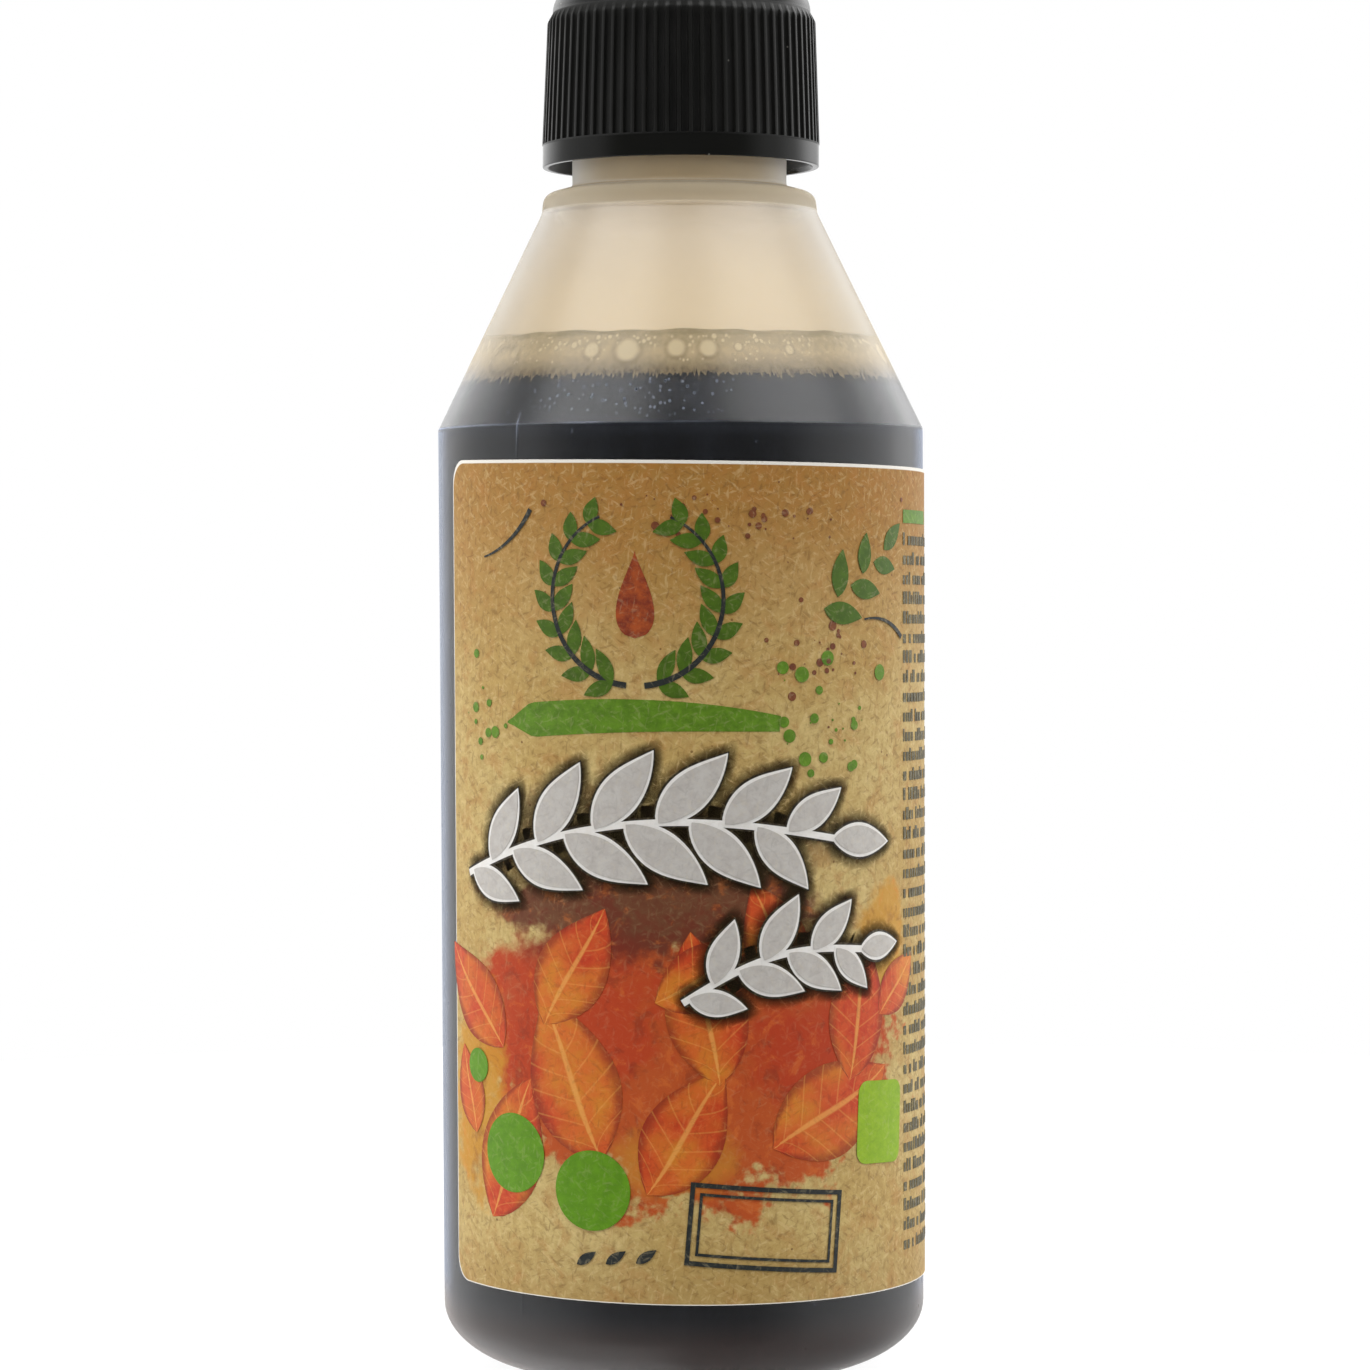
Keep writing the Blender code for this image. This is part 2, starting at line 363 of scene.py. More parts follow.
def about_axis(azimuth, radius, height):
    """Points (r sin a, -r cos a, z) from arrays of azimuth, radius and height."""
    return np.stack([radius * np.sin(azimuth), -radius * np.cos(azimuth), height], axis=-1)


def pale_floor():
    """Round floor, a circle of points, so bright that it merges with the background. Its light
    is in the world already, so neither gloss nor paper sees it a second time."""
    angles = round_azimuths(64)
    rim = about_axis(angles, FLOOR_RADIUS, np.full(64, -FLOOR_DROP))
    mesh = bpy.data.meshes.new("floor")
    mesh.from_pydata(rim.tolist(), [], [list(range(64))])
    tree = Finish("pale_floor")
    place = tree.node("ShaderNodeTexCoord").outputs["Object"]
    mesh.materials.append(tree.done({
        "Base Color": tree.grey(tree.ramp(tree.noise(place, 9.0), 0.3, 0.7, 0.10, 0.12)),
        "Roughness": 0.9, "Specular IOR Level": 0.1,
        "Emission Color": rgb(255, 255, 255), "Emission Strength": FLOOR_GLOW}))
    floor = bpy.data.objects.new("floor", mesh)
    floor.visible_glossy = False
    floor.visible_diffuse = False
    scene.collection.objects.link(floor)


pale_floor()
print("floor radius", FLOOR_RADIUS, "m")

# %% [markdown]
# ## Surfaces from numbers
# Every new piece is a grid of points. For a turned piece, one parameter runs along an outline of
# radius and height, and the other is the azimuth round the axis. Spinning a curve with a modifier
# would give the same smooth shape, but working out the points as whole arrays makes it easy to
# add relief, such as ribs, bubbles or a ragged edge, wherever a formula says so.


# %% Make meshes from grids of points
SHARP_ANGLE = math.radians(50.0)


def grid_faces(rows, columns, closed=False):
    """Four-cornered faces of a grid of points, joined round from last column to first if closed."""
    row = np.arange(rows - 1)[:, None]
    column = np.arange(columns if closed else columns - 1)[None, :]
    right = (column + 1) % columns
    corners = (row * columns + column, row * columns + right,
               (row + 1) * columns + right, (row + 1) * columns + column)
    return np.stack(np.broadcast_arrays(*corners), axis=-1).reshape(-1, 4)


def mesh_from_arrays(name, points, quads, triangles=np.zeros((0, 3), int)):
    """Mesh from an array of points and arrays of four- and three-cornered faces."""
    corners = np.concatenate([quads.ravel(), triangles.ravel()])
    sizes = np.repeat([4, 3], [len(quads), len(triangles)])
    mesh = bpy.data.meshes.new(name)
    mesh.vertices.add(len(points))
    mesh.vertices.foreach_set("co", np.asarray(points, np.float32).ravel())
    mesh.loops.add(len(corners))
    mesh.loops.foreach_set("vertex_index", corners.astype(np.int32))
    mesh.polygons.add(len(sizes))
    mesh.polygons.foreach_set("loop_start", (np.cumsum(sizes) - sizes).astype(np.int32))
    mesh.update(calc_edges=True)
    mesh.shade_smooth()
    mesh.set_sharp_from_angle(angle=SHARP_ANGLE)
    return mesh


def add_mask(mesh, name, values):
    """Store one number for each point, which a material reads as an attribute."""
    layer = mesh.attributes.new(name, "FLOAT", "POINT")
    layer.data.foreach_set("value", np.asarray(values, np.float32).ravel())


def add_piece(mesh, material, stands_for=None):
    """Show a mesh as a piece of the bottle, in place of a plain solid if one is named."""
    mesh.materials.append(material)
    piece = bpy.data.objects.new(mesh.name, mesh)
    scene.collection.objects.link(piece)
    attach(piece, "root")
    if stands_for:
        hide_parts(stands_for)
    print(f"{piece.name}: {len(mesh.vertices)} points, {len(mesh.polygons)} faces")


# %% Draw outlines
EASE_STEPS, DOME_STEPS, CORNER_STEPS = 8, 12, 20


def eased(corners):
    """Outline through corners of (radius, height, ease).

    A corner with an ease is cut at that distance along both of its sides, and a parabola joins
    the cuts: corner + before (1 - t)^2 + after t^2.
    """
    outline = []
    for index, (radius, height, ease) in enumerate(corners):
        corner = np.array([radius, height])
        if ease == 0.0:
            outline.append(corner[None])
            continue
        before = np.array(corners[index - 1][:2]) - corner
        after = np.array(corners[index + 1][:2]) - corner
        before, after = (side * ease / np.linalg.norm(side) for side in (before, after))
        t = np.linspace(0.0, 1.0, EASE_STEPS + 1)[:, None]
        outline.append(corner + before * (1.0 - t) ** 2 + after * t ** 2)
    return np.concatenate(outline)


def filled_in(outline, step):
    """The same outline with points added, so that no two lie further apart than a step."""
    runs = [np.linspace(a, b, max(2, 1 + math.ceil(np.linalg.norm(b - a) / step)))[:-1]
            for a, b in zip(outline, outline[1:])]
    return np.concatenate(runs + [outline[-1:]])


def base_outline(depth):
    """Base and corner at a depth below the outer skin, from the axis outwards.

    The middle is a dome of half a cosine wave, then comes a flat ring, then a quarter ellipse.
    """
    ring_outer = FOOT_RADIUS - CORNER_RUN
    ring_inner = ring_outer - RING_WIDTH
    t = np.linspace(0.0, 1.0, DOME_STEPS)
    dome = np.stack([ring_inner * t, depth + PUSH_UP * 0.5 * (1.0 + np.cos(math.pi * t))], axis=1)
    a = np.linspace(-math.pi / 2, 0.0, CORNER_STEPS)
    corner = np.stack([ring_outer + (CORNER_RUN - depth) * np.cos(a),
                       CORNER_RISE + (CORNER_RISE - depth) * np.sin(a)], axis=1)
    return np.concatenate([dome, corner])


def cone_radius(height, depth):
    """Radius of the shoulder at a depth below its skin: a straight line in the height."""
    return BODY_RADIUS - CONE_SLOPE * (height - CREASE_HEIGHT) - depth / math.cos(CONE_LEAN)


def crease(depth):
    """The corner where body and shoulder meet, at a depth below the skin."""
    drop = depth * (1.0 / math.cos(CONE_LEAN) - 1.0) / CONE_SLOPE
    return (BODY_RADIUS - depth, CREASE_HEIGHT - drop, CREASE_EASE)


# %% Turn an outline about the axis
def turned(name, outline, azimuths, relief):
    """Mesh turned from an outline that starts and ends on the axis.

    Relief is a function of the grids of azimuth, radius and height that gives what to add to
    radius and height.
    """
    azimuth, radius = np.meshgrid(azimuths, outline[1:-1, 0])
    height = np.repeat(outline[1:-1, 1:], len(azimuths), axis=1)
    outwards, upwards = relief(azimuth, radius, height)
    points = about_axis(azimuth, radius + outwards, height + upwards)
    rows, columns = azimuth.shape
    ends = np.array([[0.0, 0.0, outline[0, 1]], [0.0, 0.0, outline[-1, 1]]])
    first = np.arange(columns)
    following = (first + 1) % columns
    last_row = (rows - 1) * columns
    start, finish = np.full(columns, rows * columns), np.full(columns, rows * columns + 1)
    fans = np.concatenate([np.stack([start, following, first], axis=1),
                           np.stack([finish, first + last_row, last_row + following], axis=1)])
    everything = np.concatenate([points.reshape(-1, 3), ends])
    return mesh_from_arrays(name, everything, grid_faces(rows, columns, closed=True), fans)


# %% [markdown]
# ## The bottle
# The bottle is blown from uncoloured plastic. It lets light through but blurs it, so what
# touches its wall shows clearly and what lies behind it melts away. A rough glass shader does
# that. Above the syrup a thin beige film clings to the inside, and it tints the light that comes
# through. Two faint seams run up the sides where the halves of the mould met.

# %% Shape the bottle's wall
SEAM_AZIMUTHS = np.radians([-40.3, 139.7])
SEAM_WIDTH = 0.14 * MM
SEAM_RISE = 0.04 * MM
SEAM_NOTCH = 0.10 * MM
NOTCH_HEIGHT = 0.5 * MM
WAVE_RISE = 0.012 * MM
WALL_COLUMNS = 288


def round_distance(azimuth, middle, radius):
    """Distance along the wall from an azimuth to a middle one, the shorter way round."""
    return radius * np.abs((azimuth - middle + math.pi) % math.tau - math.pi)


def beside_seam(azimuth, radius):
    """Distance along the wall to the nearer seam."""
    return np.minimum(*[round_distance(azimuth, middle, radius) for middle in SEAM_AZIMUTHS])


def seam_relief(azimuth, radius, height):
    """Bell-shaped ridges along the seams, a notch where they cross the crease, and soft waves."""
    beside = beside_seam(azimuth, radius)
    rise = np.where(height > CREASE_HEIGHT + 0.5 * MM, 0.2, 1.0) * SEAM_RISE
    ridge = rise * np.exp(-(beside / SEAM_WIDTH) ** 2)
    at_crease = np.exp(-((height - CREASE_HEIGHT) / NOTCH_HEIGHT) ** 2)
    notch = SEAM_NOTCH * np.exp(-(beside / (2.0 * SEAM_WIDTH)) ** 2) * at_crease
    on_wall = (height > CORNER_RISE) & (height < CONE_TOP_HEIGHT - 2.0 * MM)
    waves = (np.sin(3.0 * azimuth + 0.7 + height / (31.0 * MM))
             + 0.6 * np.sin(7.0 * azimuth - 1.9 + height / (17.0 * MM)))
    outwards = np.where(on_wall, ridge - notch + WAVE_RISE * waves, 0.0)
    return outwards, np.zeros_like(outwards)


def outer_corners(depth):
    """Corners of the skin at a depth, from the body's foot to the foot of the neck."""
    return [
        (FOOT_RADIUS - depth, CORNER_RISE, 0.0),
        crease(depth),
        (CONE_TOP_RADIUS - depth, CONE_TOP_HEIGHT, 0.5 * MM),
        (COLLAR_RADIUS - depth - 0.05 * MM, COLLAR_HEIGHT - depth, 1.1 * MM),
        (NECK_RADIUS - depth, NECK_FOOT - depth, 0.45 * MM),
    ]


def bottle_outline():
    """Outer skin from the base up to the lip, then down the inside to the base again."""
    bore = NECK_RADIUS - NECK_WALL
    outside = eased([
        *outer_corners(0.0),
        (NECK_RADIUS, LIP_HEIGHT, 0.3 * MM),
        (bore, LIP_HEIGHT, 0.0),
    ])
    inside = eased([
        (bore, LIP_HEIGHT, 0.3 * MM),
        (bore, NECK_FOOT - WALL, 0.4 * MM),
        (COLLAR_RADIUS - WALL, COLLAR_HEIGHT - WALL, 0.7 * MM),
        (cone_radius(CONE_TOP_HEIGHT, WALL), CONE_TOP_HEIGHT, 0.3 * MM),
        crease(WALL),
        (FOOT_RADIUS - WALL, CORNER_RISE, 0.0),
    ])[1:]
    outline = [base_outline(0.0)[:-1], outside, inside[:-1], base_outline(WALL)[::-1]]
    return filled_in(np.concatenate(outline), 2.0 * MM)


def fine_at_seams():
    """Even azimuths with a few close ones added at each seam."""
    near = np.linspace(-3.0, 3.0, 13) * SEAM_WIDTH / BODY_RADIUS
    extra = (SEAM_AZIMUTHS[:, None] + near[None, :]).ravel() % math.tau
    return np.unique(np.concatenate([round_azimuths(WALL_COLUMNS), extra]))


bottle_mesh = turned("bottle_wall", bottle_outline(), fine_at_seams(), seam_relief)
print(f"bottle wall: {len(bottle_mesh.polygons)} faces")


# %% Mix the natural plastic
def frosted_front(tree, place, height):
    """Mask of the patch in front, between crease and froth, where dried drops lie."""
    sides = tree.split(place)
    across = tree.times(tree.ramp(sides["X"], -19.0 * MM, -9.0 * MM),
                        tree.ramp(sides["X"], 9.0 * MM, 1.0 * MM),
                        tree.math("LESS_THAN", sides["Y"], 0.0))
    upwards = tree.times(tree.ramp(height, CREASE, CREASE + 3.5), tree.ramp(height, LEVEL, LEVEL - 0.8))
    return tree.times(across, upwards)


def natural_plastic():
    """Rough glass whose tint follows the film inside, paler at the slanting sides of the neck as painted
    light, and darkened just under and inside the cap as painted shade. Streaks and dried drops give it
    relief, and the thick collar and neck and the body below the crease blur more than the shoulder."""
    tree = Finish("natural_plastic")
    place, height = tree.place()
    clear, film = (252, 252, 252), (243, 231, 210)
    high_film, neck_film = (236, 226, 210), (254, 240, 214)
    # Painted light: the slanting sides of the neck turn paler
    paler = tree.times(tree.ramp(tree.slant(), 0.03, 0.60, smooth=False),
                       tree.ramp(height, CONE_TOP - 1.0, CONE_TOP + 0.5))
    tint = tree.coats(
        rgb(*clear),
        (tree.ramp(height, LEVEL - 1.0, LEVEL), film),
        (tree.ramp(height, TOP + 4.0, CONE_TOP), high_film),
        (tree.ramp(height, CONE_TOP, NECK), neck_film),
        (paler, (255, 253, 250)),
        # Painted shade: a darker brown tint just under and inside the cap, where the cap shades the neck
        (tree.ramp(height, CAP - 1.0, CAP + 0.2, 0.0, 0.6), (140, 118, 92)))
    patchy = tree.ramp(tree.noise(place, 60.0, 4.0), 0.3, 0.7, 0.94, 1.0)
    tint = tree.mix(1.0, tint, tree.grey(patchy), blend="MULTIPLY")

    rough = tree.plus(tree.ramp(tree.noise(place, 140.0, 4.0), 0.3, 0.7, 0.20, 0.23),
                      tree.ramp(height, CONE_TOP + 0.2, CONE_TOP + 0.4, 0.0, 0.5),
                      tree.ramp(height, CREASE + 0.05, CREASE - 0.05, 0.0, 0.085))

    streaks = tree.times(tree.noise(place, (900.0, 900.0, 60.0)),
                         tree.ramp(height, CREASE, CREASE + 1.0, 1.0, 0.3))
    relief = tree.add(streaks, tree.noise(place, 1500.0, 2.0), 0.04)
    away, chances = tree.cells(place, (2300.0, 2300.0, 1800.0))
    drop = tree.times(tree.ramp(away, 0.45, 0.1), tree.ramp(chances[0], 0.55, 0.65))
    relief = tree.add(relief, tree.times(drop, frosted_front(tree, place, height)), 0.8)
    return tree.done({
        "Base Color": tint, "Roughness": rough, "IOR": 1.5, "Transmission Weight": 1.0,
        "Normal": tree.bump(0.2, 0.05, relief)})


add_piece(bottle_mesh, natural_plastic(), stands_for="bottle")

# %% [markdown]
# ## Syrup and froth
# The syrup is so dark that hardly any light crosses it: a dark, dull body does, because the gloss
# that one sees is the bottle's own. Both fillings reach a little into the wall. If they only
# touched it, a thin film of air would show as silver. Where they meet, the edge is ragged.

# %% Draw the ragged edge between syrup and froth
EDGE_WAVES = 90
EDGE_HEIGHT = 0.39 * MM
LEVEL_TILT = 0.12 * MM
EDGE_COLUMNS = 1360
FILL_DEPTH = WALL - BITE
# How far the syrup's surface sinks from its rim to its middle, and over what width
SINK_DEPTH, SINK_WIDTH = 0.4 * MM, 1.2 * MM


def ragged_edge(azimuth):
    """Sum of sine waves round the bottle, and the slight tilt of the level."""
    waves = np.random.default_rng(7)
    counts = np.round(waves.uniform(8.0, 420.0, EDGE_WAVES))
    turns = waves.uniform(0.0, math.tau, EDGE_WAVES)
    total = np.zeros_like(azimuth)
    for count, turn in zip(counts, turns):
        total += np.sin(count * azimuth + turn) / math.sqrt(EDGE_WAVES)
    return EDGE_HEIGHT * total + LEVEL_TILT * np.sin(azimuth)


def syrup_relief(azimuth, radius, height):
    """Lift the outermost ring at the level by the ragged edge, along the slope of the wall."""
    at_rim = (height > SYRUP_LEVEL - 0.01 * MM) & (radius > cone_radius(SYRUP_LEVEL, WALL))
    upwards = np.where(at_rim, ragged_edge(azimuth), 0.0)
    return -CONE_SLOPE * upwards, upwards


def syrup_outline():
    """The bottle's inside, a bite into its wall, up to the level and in to the axis."""
    rim, below_rim = cone_radius(SYRUP_LEVEL, FILL_DEPTH), SYRUP_LEVEL - 0.8 * MM
    sunk = SYRUP_LEVEL - SINK_DEPTH
    sides = eased([
        (FOOT_RADIUS - FILL_DEPTH, CORNER_RISE, 0.0),
        crease(FILL_DEPTH),
        (cone_radius(below_rim, FILL_DEPTH), below_rim, 0.0),
        (rim, SYRUP_LEVEL, 0.0),
        (rim - SINK_WIDTH, sunk, 0.0),
    ])
    outline = [base_outline(FILL_DEPTH)[:-1], sides, np.array([[0.0, sunk]])]
    return filled_in(np.concatenate(outline), 4.0 * MM)


syrup_mesh = turned("syrup_fill", syrup_outline(), round_azimuths(EDGE_COLUMNS), syrup_relief)


def upright_wisps(tree, place, low, high):
    """Mask of thin upright wisps, where syrup and froth have run into each other."""
    return tree.ramp(tree.noise(place, (1500.0, 1500.0, 800.0), 4.0, 0.6), low, high)


def dark_syrup():
    """Near black, paler in upright wisps just below the froth, and red-brown near the base,
    where light comes up through it."""
    tree = Finish("dark_syrup")
    place, height = tree.place()
    body = tree.mix(tree.ramp(height, 9.5, 5.5), (0.0018, 0.0026, 0.0050, 1.0), (0.028, 0.012, 0.010, 1.0))
    near_top = tree.ramp(height, LEVEL - 1.4, LEVEL)
    wisps = tree.times(near_top, upright_wisps(tree, place, 0.48, 0.7), 0.5)
    return tree.done({"Base Color": tree.coats(body, (wisps, (96, 84, 66))),
                      "Roughness": 0.35, "Specular IOR Level": 0.05})


add_piece(syrup_mesh, dark_syrup(), stands_for="syrup")

# %% Place the bubbles in the froth
# The large bubbles that press against the wall in front: azimuth in degrees, depth of the
# middle below the froth's top, and radius. A ghost is one behind the wall, of which only the
# rim shows
GHOST = (-55.5, 2.9, 1.5)
FRONT_BUBBLES = np.array([
    (-14.2, 2.15, 1.38), (-1.0, 1.95, 1.05), (7.6, 2.0, 1.02), (-24.5, 2.1, 0.92), (-51.5, 2.0, 0.70),
    (16.0, 1.85, 0.46), (-30.2, 1.5, 0.42), (-36.0, 1.75, 0.30), (-41.5, 1.9, 0.28), (31.0, 2.1, 0.55),
    (9.5, 0.7, 0.34), (21.5, 1.1, 0.28), (-8.6, 0.95, 0.24), (3.0, 0.75, 0.22), (13.0, 0.6, 0.22),
])
# Random bubbles: how many, and from and to what azimuth in radians, depth and radius, with the
# power that the radius is raised to, so that small ones are more common
RANDOM_BUBBLES = (
    (26, (1.25, 5.1), (1.3, 2.4), (0.3, 1.3), 1.3),
    (330, (0.0, math.tau), (0.45, 1.7), (0.3, 0.6), 2.0),
    (420, (0.0, math.tau), (0.9, 3.4), (0.07, 0.17), 1.0),
)
FROTH_RADIUS = cone_radius(0.5 * (SYRUP_LEVEL + FROTH_TOP), FILL_DEPTH)


def wall_bubbles():
    """The chosen bubbles in front, and seeded random ones all round: azimuth, height, radius."""
    azimuth, depth, size = FRONT_BUBBLES.T
    front = np.stack([np.radians(azimuth), FROTH_TOP - depth * MM, size * MM], axis=1)
    dice = np.random.default_rng(23)
    others = np.concatenate([
        np.stack([dice.uniform(*azimuths, count), FROTH_TOP - dice.uniform(*depths, count) * MM,
                  dice.uniform(*sizes, count) ** power * MM], axis=1)
        for count, azimuths, depths, sizes, power in RANDOM_BUBBLES])
    across = round_distance(others[:, :1], front[None, :, 0], FROTH_RADIUS)
    gap = np.hypot(across, others[:, 1:2] - front[None, :, 1])
    apart = gap - front[None, :, 2] - 0.7 * others[:, 2:]
    return np.concatenate([front, others[apart.min(axis=1) > 0.0]])


bubbles = wall_bubbles()
print(len(bubbles), "bubbles against the wall, up to", round(bubbles[:, 2].max() / MM, 2), "mm in radius")

# %% Shape the froth
# The two places in front, in radians, where the wall blurs the bubbles, and their width
BLUR_AZIMUTHS, BLUR_WIDTH = np.radians([-56.0, 50.0]), 0.2
FROTH_SINK = 0.9 * MM
WALL_RINGS, TOP_RINGS = 44, 24


def bubble_masks(azimuth, height):
    """For each point, how far inside a bubble it lies and how near a bubble's rim.

    With d the distance to the middle over the bubble's radius, the inside is 1 up to d = 0.6
    and falls to 0 at d = 1.05, and the rim is a wide bell of d about 1.15: the brown film round the
    bubble, made stronger below it as painted shade. Towards the sides of the front, where the wall
    blurs them, the masks fade.
    """
    inside, rim = np.zeros_like(azimuth), np.zeros_like(azimuth)
    for middle, level, size in bubbles:
        across = round_distance(azimuth, middle, FROTH_RADIUS)
        d = np.hypot(across, height - level) / size
        soft = np.clip((1.05 - d) / 0.45, 0.0, 1.0)
        inside = np.maximum(inside, soft * soft * (3.0 - 2.0 * soft))
        # Painted shade: the rim is darker below each bubble
        below = 0.75 + 0.25 * np.clip((level - height) / size, -1.0, 1.0)
        rim = np.maximum(rim, below * np.exp(-((d - 1.15) / 0.22) ** 2) * min(1.0, size / (0.5 * MM)))
    across = round_distance(azimuth, math.radians(GHOST[0]), FROTH_RADIUS)
    d = np.hypot(0.6 * across, height - FROTH_TOP + GHOST[1] * MM) / (GHOST[2] * MM)
    blurred = np.zeros_like(azimuth)
    for middle in BLUR_AZIMUTHS:
        blurred = np.maximum(blurred, np.exp(-(round_distance(azimuth, middle, 1.0) / BLUR_WIDTH) ** 2))
    ring = np.exp(-((d - 1.0) / 0.2) ** 2)
    kept = 1.0 - 0.65 * blurred
    return inside * kept, np.maximum(rim * kept, ring)


def froth_top_waves(azimuth, radius):
    """Lumpy top of the froth: waves that change round the axis and from it outwards."""
    return 0.15 * MM * (np.sin(9.0 * azimuth + 900.0 * radius) * np.sin(800.0 * radius + 2.0)
                        + 0.5 * np.sin(23.0 * azimuth + 1.3))


def froth_relief(azimuth, radius, height):
    """Ragged foot ring, lumpy top ring, and the top's lumps inside it."""
    skin = radius > cone_radius(height, WALL) - 0.2 * MM
    foot = skin & (height < SYRUP_LEVEL + 0.01 * MM)
    share = np.clip((height - SYRUP_LEVEL) / (FROTH_TOP - SYRUP_LEVEL), 0.0, 1.0)
    upwards = np.where(foot, ragged_edge(azimuth), froth_top_waves(azimuth, radius) * share ** 3)
    return np.where(skin, -CONE_SLOPE * upwards, 0.0), upwards


def froth_outline():
    """From the axis under the froth, out to the wall, up it and in to the axis again."""
    low = SYRUP_LEVEL - FROTH_SINK
    foot, top = cone_radius(SYRUP_LEVEL, FILL_DEPTH), cone_radius(FROTH_TOP, FILL_DEPTH)
    under = np.array([[0.0, low], [foot - 2.0 * MM, low]])
    wall = np.linspace([foot, SYRUP_LEVEL], [top, FROTH_TOP], WALL_RINGS)
    over = np.linspace([top - 0.3 * MM, FROTH_TOP + 0.06 * MM], [0.0, FROTH_TOP], TOP_RINGS)
    return np.concatenate([under, wall, over])


froth_mesh = turned("froth_layer", froth_outline(), round_azimuths(EDGE_COLUMNS), froth_relief)
froth_points = np.zeros(len(froth_mesh.vertices) * 3, np.float32)
froth_mesh.vertices.foreach_get("co", froth_points)
froth_x, froth_y, froth_z = froth_points.reshape(-1, 3).T.astype(float)
bubble_inside, bubble_rim_and_shade = bubble_masks(np.arctan2(froth_x, -froth_y), froth_z)
add_mask(froth_mesh, "bubble", bubble_inside)
add_mask(froth_mesh, "bubble_rim_and_shade", bubble_rim_and_shade)
add_mask(froth_mesh, "at_wall", np.hypot(froth_x, froth_y) > cone_radius(froth_z, WALL) - 0.4 * MM)


def beige_froth():
    """Beige froth, darker towards the syrup and in a broken line at its top, with pale bubbles
    in brown rims that carry painted shade below them, and wisps of syrup at its foot."""
    tree = Finish("beige_froth")
    place, height = tree.place()
    pale, low, high, line = (232, 218, 186), (164, 150, 120), (196, 184, 150), (168, 157, 122)
    broken = tree.ramp(tree.noise(place, (260.0, 260.0, 900.0), 4.0, 0.6), 0.40, 0.60, 0.15, 0.75)
    colour = tree.coats(
        rgb(*pale),
        (tree.ramp(height, LEVEL + 3.0, LEVEL), low),
        (tree.ramp(height, TOP - 2.6, TOP - 1.2, 0.0, 0.45), high),
        (tree.times(broken, tree.ramp(height, TOP - 0.85, TOP - 0.25)), line))
    colour = tree.mix(tree.stored("at_wall"), rgb(240, 230, 208), colour)
    speckle = tree.ramp(tree.noise(place, 1400.0, 4.0, 0.6), 0.35, 0.65, 0.90, 1.06)
    colour = tree.mix(1.0, colour, tree.grey(speckle), blend="MULTIPLY")
    wisps = tree.times(upright_wisps(tree, place, 0.42, 0.66),
                       tree.ramp(height, LEVEL + 1.3, LEVEL, 0.0, 0.75))
    colour = tree.coats(
        colour,
        # Brown rims round the bubbles, with painted shade below each
        (tree.times(tree.stored("bubble_rim_and_shade"), 0.34), (128, 108, 72)),
        (wisps, (70, 62, 50)),
        (tree.stored("bubble"), (255, 246, 218)))
    return tree.done({"Base Color": colour, "Roughness": 0.7, "Specular IOR Level": 0.1,
                      "Normal": tree.bump(0.3, 0.1, speckle)})


add_piece(froth_mesh, beige_froth(), stands_for="froth")

# %% [markdown]
# ## The milky skin
# Real squeeze plastic is slightly milky: a small part of the light scatters in it, most of all
# in the thick neck and collar. A glass shader can't do that, and true scattering would be slow.
# A sheer pale skin just outside the wall does it: its alpha says how much light it scatters.

# %% Wrap the wall in a sheer skin
SKIN_LIFT = 0.02 * MM
SKIN_SINK = 0.15 * MM
SKIN_FOOT = 1.2 * MM
SKIN_TOP = CAP_FOOT + 6.0 * MM
# How far up and down from the crease the seams show, and how much wider they do
SEAM_ABOVE, SEAM_BELOW, SEAM_SHARE = 0.8 * MM, 1.5 * MM, 0.8


def skin_side(depth):
    """The bottle's skin at a depth, from the base's corner up to inside the cap."""
    corner = base_outline(depth)
    corner = corner[corner[:, 1] > SKIN_FOOT]
    rest = eased([*outer_corners(depth), (NECK_RADIUS - depth, SKIN_TOP, 0.0)])
    return filled_in(np.concatenate([corner[:-1], rest]), 1.5 * MM)


def milky_mesh():
    """Closed sleeve: up along the outside of the skin and down again inside the wall."""
    outer, inner = skin_side(-SKIN_LIFT), skin_side(SKIN_SINK)[::-1]
    outline = np.concatenate([outer, inner])
    azimuth, radius = np.meshgrid(fine_at_seams(), outline[:, 0])
    height = np.repeat(outline[:, 1:], azimuth.shape[1], axis=1)
    radius = radius + seam_relief(azimuth, radius, height)[0]
    rows, columns = azimuth.shape
    faces = grid_faces(rows + 1, columns, closed=True) % (rows * columns)
    mesh = mesh_from_arrays("milky_skin", about_axis(azimuth, radius, height).reshape(-1, 3), faces)
    add_mask(mesh, "outside", np.repeat(np.arange(rows) < len(outer), columns))
    reach = np.where(height > CREASE_HEIGHT, SEAM_ABOVE, SEAM_BELOW)
    beside = beside_seam(azimuth, radius) / (SEAM_SHARE * SEAM_WIDTH)
    add_mask(mesh, "seam", np.exp(-beside ** 2 - ((height - CREASE_HEIGHT) / reach) ** 2))
    return mesh


def skin_colour(tree, height, over_syrup, at_foot, neck_side_light, fleck, fleck_tone):
    """Beige above the syrup, browner in the collar, bluish over the syrup and pinkish at the
    foot, with dull flecks in the frosted front. The pinkish foot is partly painted warm light from
    below, and the near-white sides of the neck are painted light."""
    warm = tree.mix(tree.ramp(height, LEVEL + 2.0, CONE_TOP), rgb(236, 218, 182), rgb(222, 210, 190))
    warm = tree.coats(warm, (tree.ramp(height, CONE_TOP, CONE_TOP + 0.5), (202, 186, 154)),
                      (tree.ramp(height, NECK - 0.5, NECK), (250, 232, 196)))
    colour = tree.mix(fleck, tree.coats(warm, (over_syrup, (196, 206, 228))), fleck_tone)
    return tree.coats(colour, (at_foot, (236, 222, 216)), (neck_side_light, (255, 253, 248)))


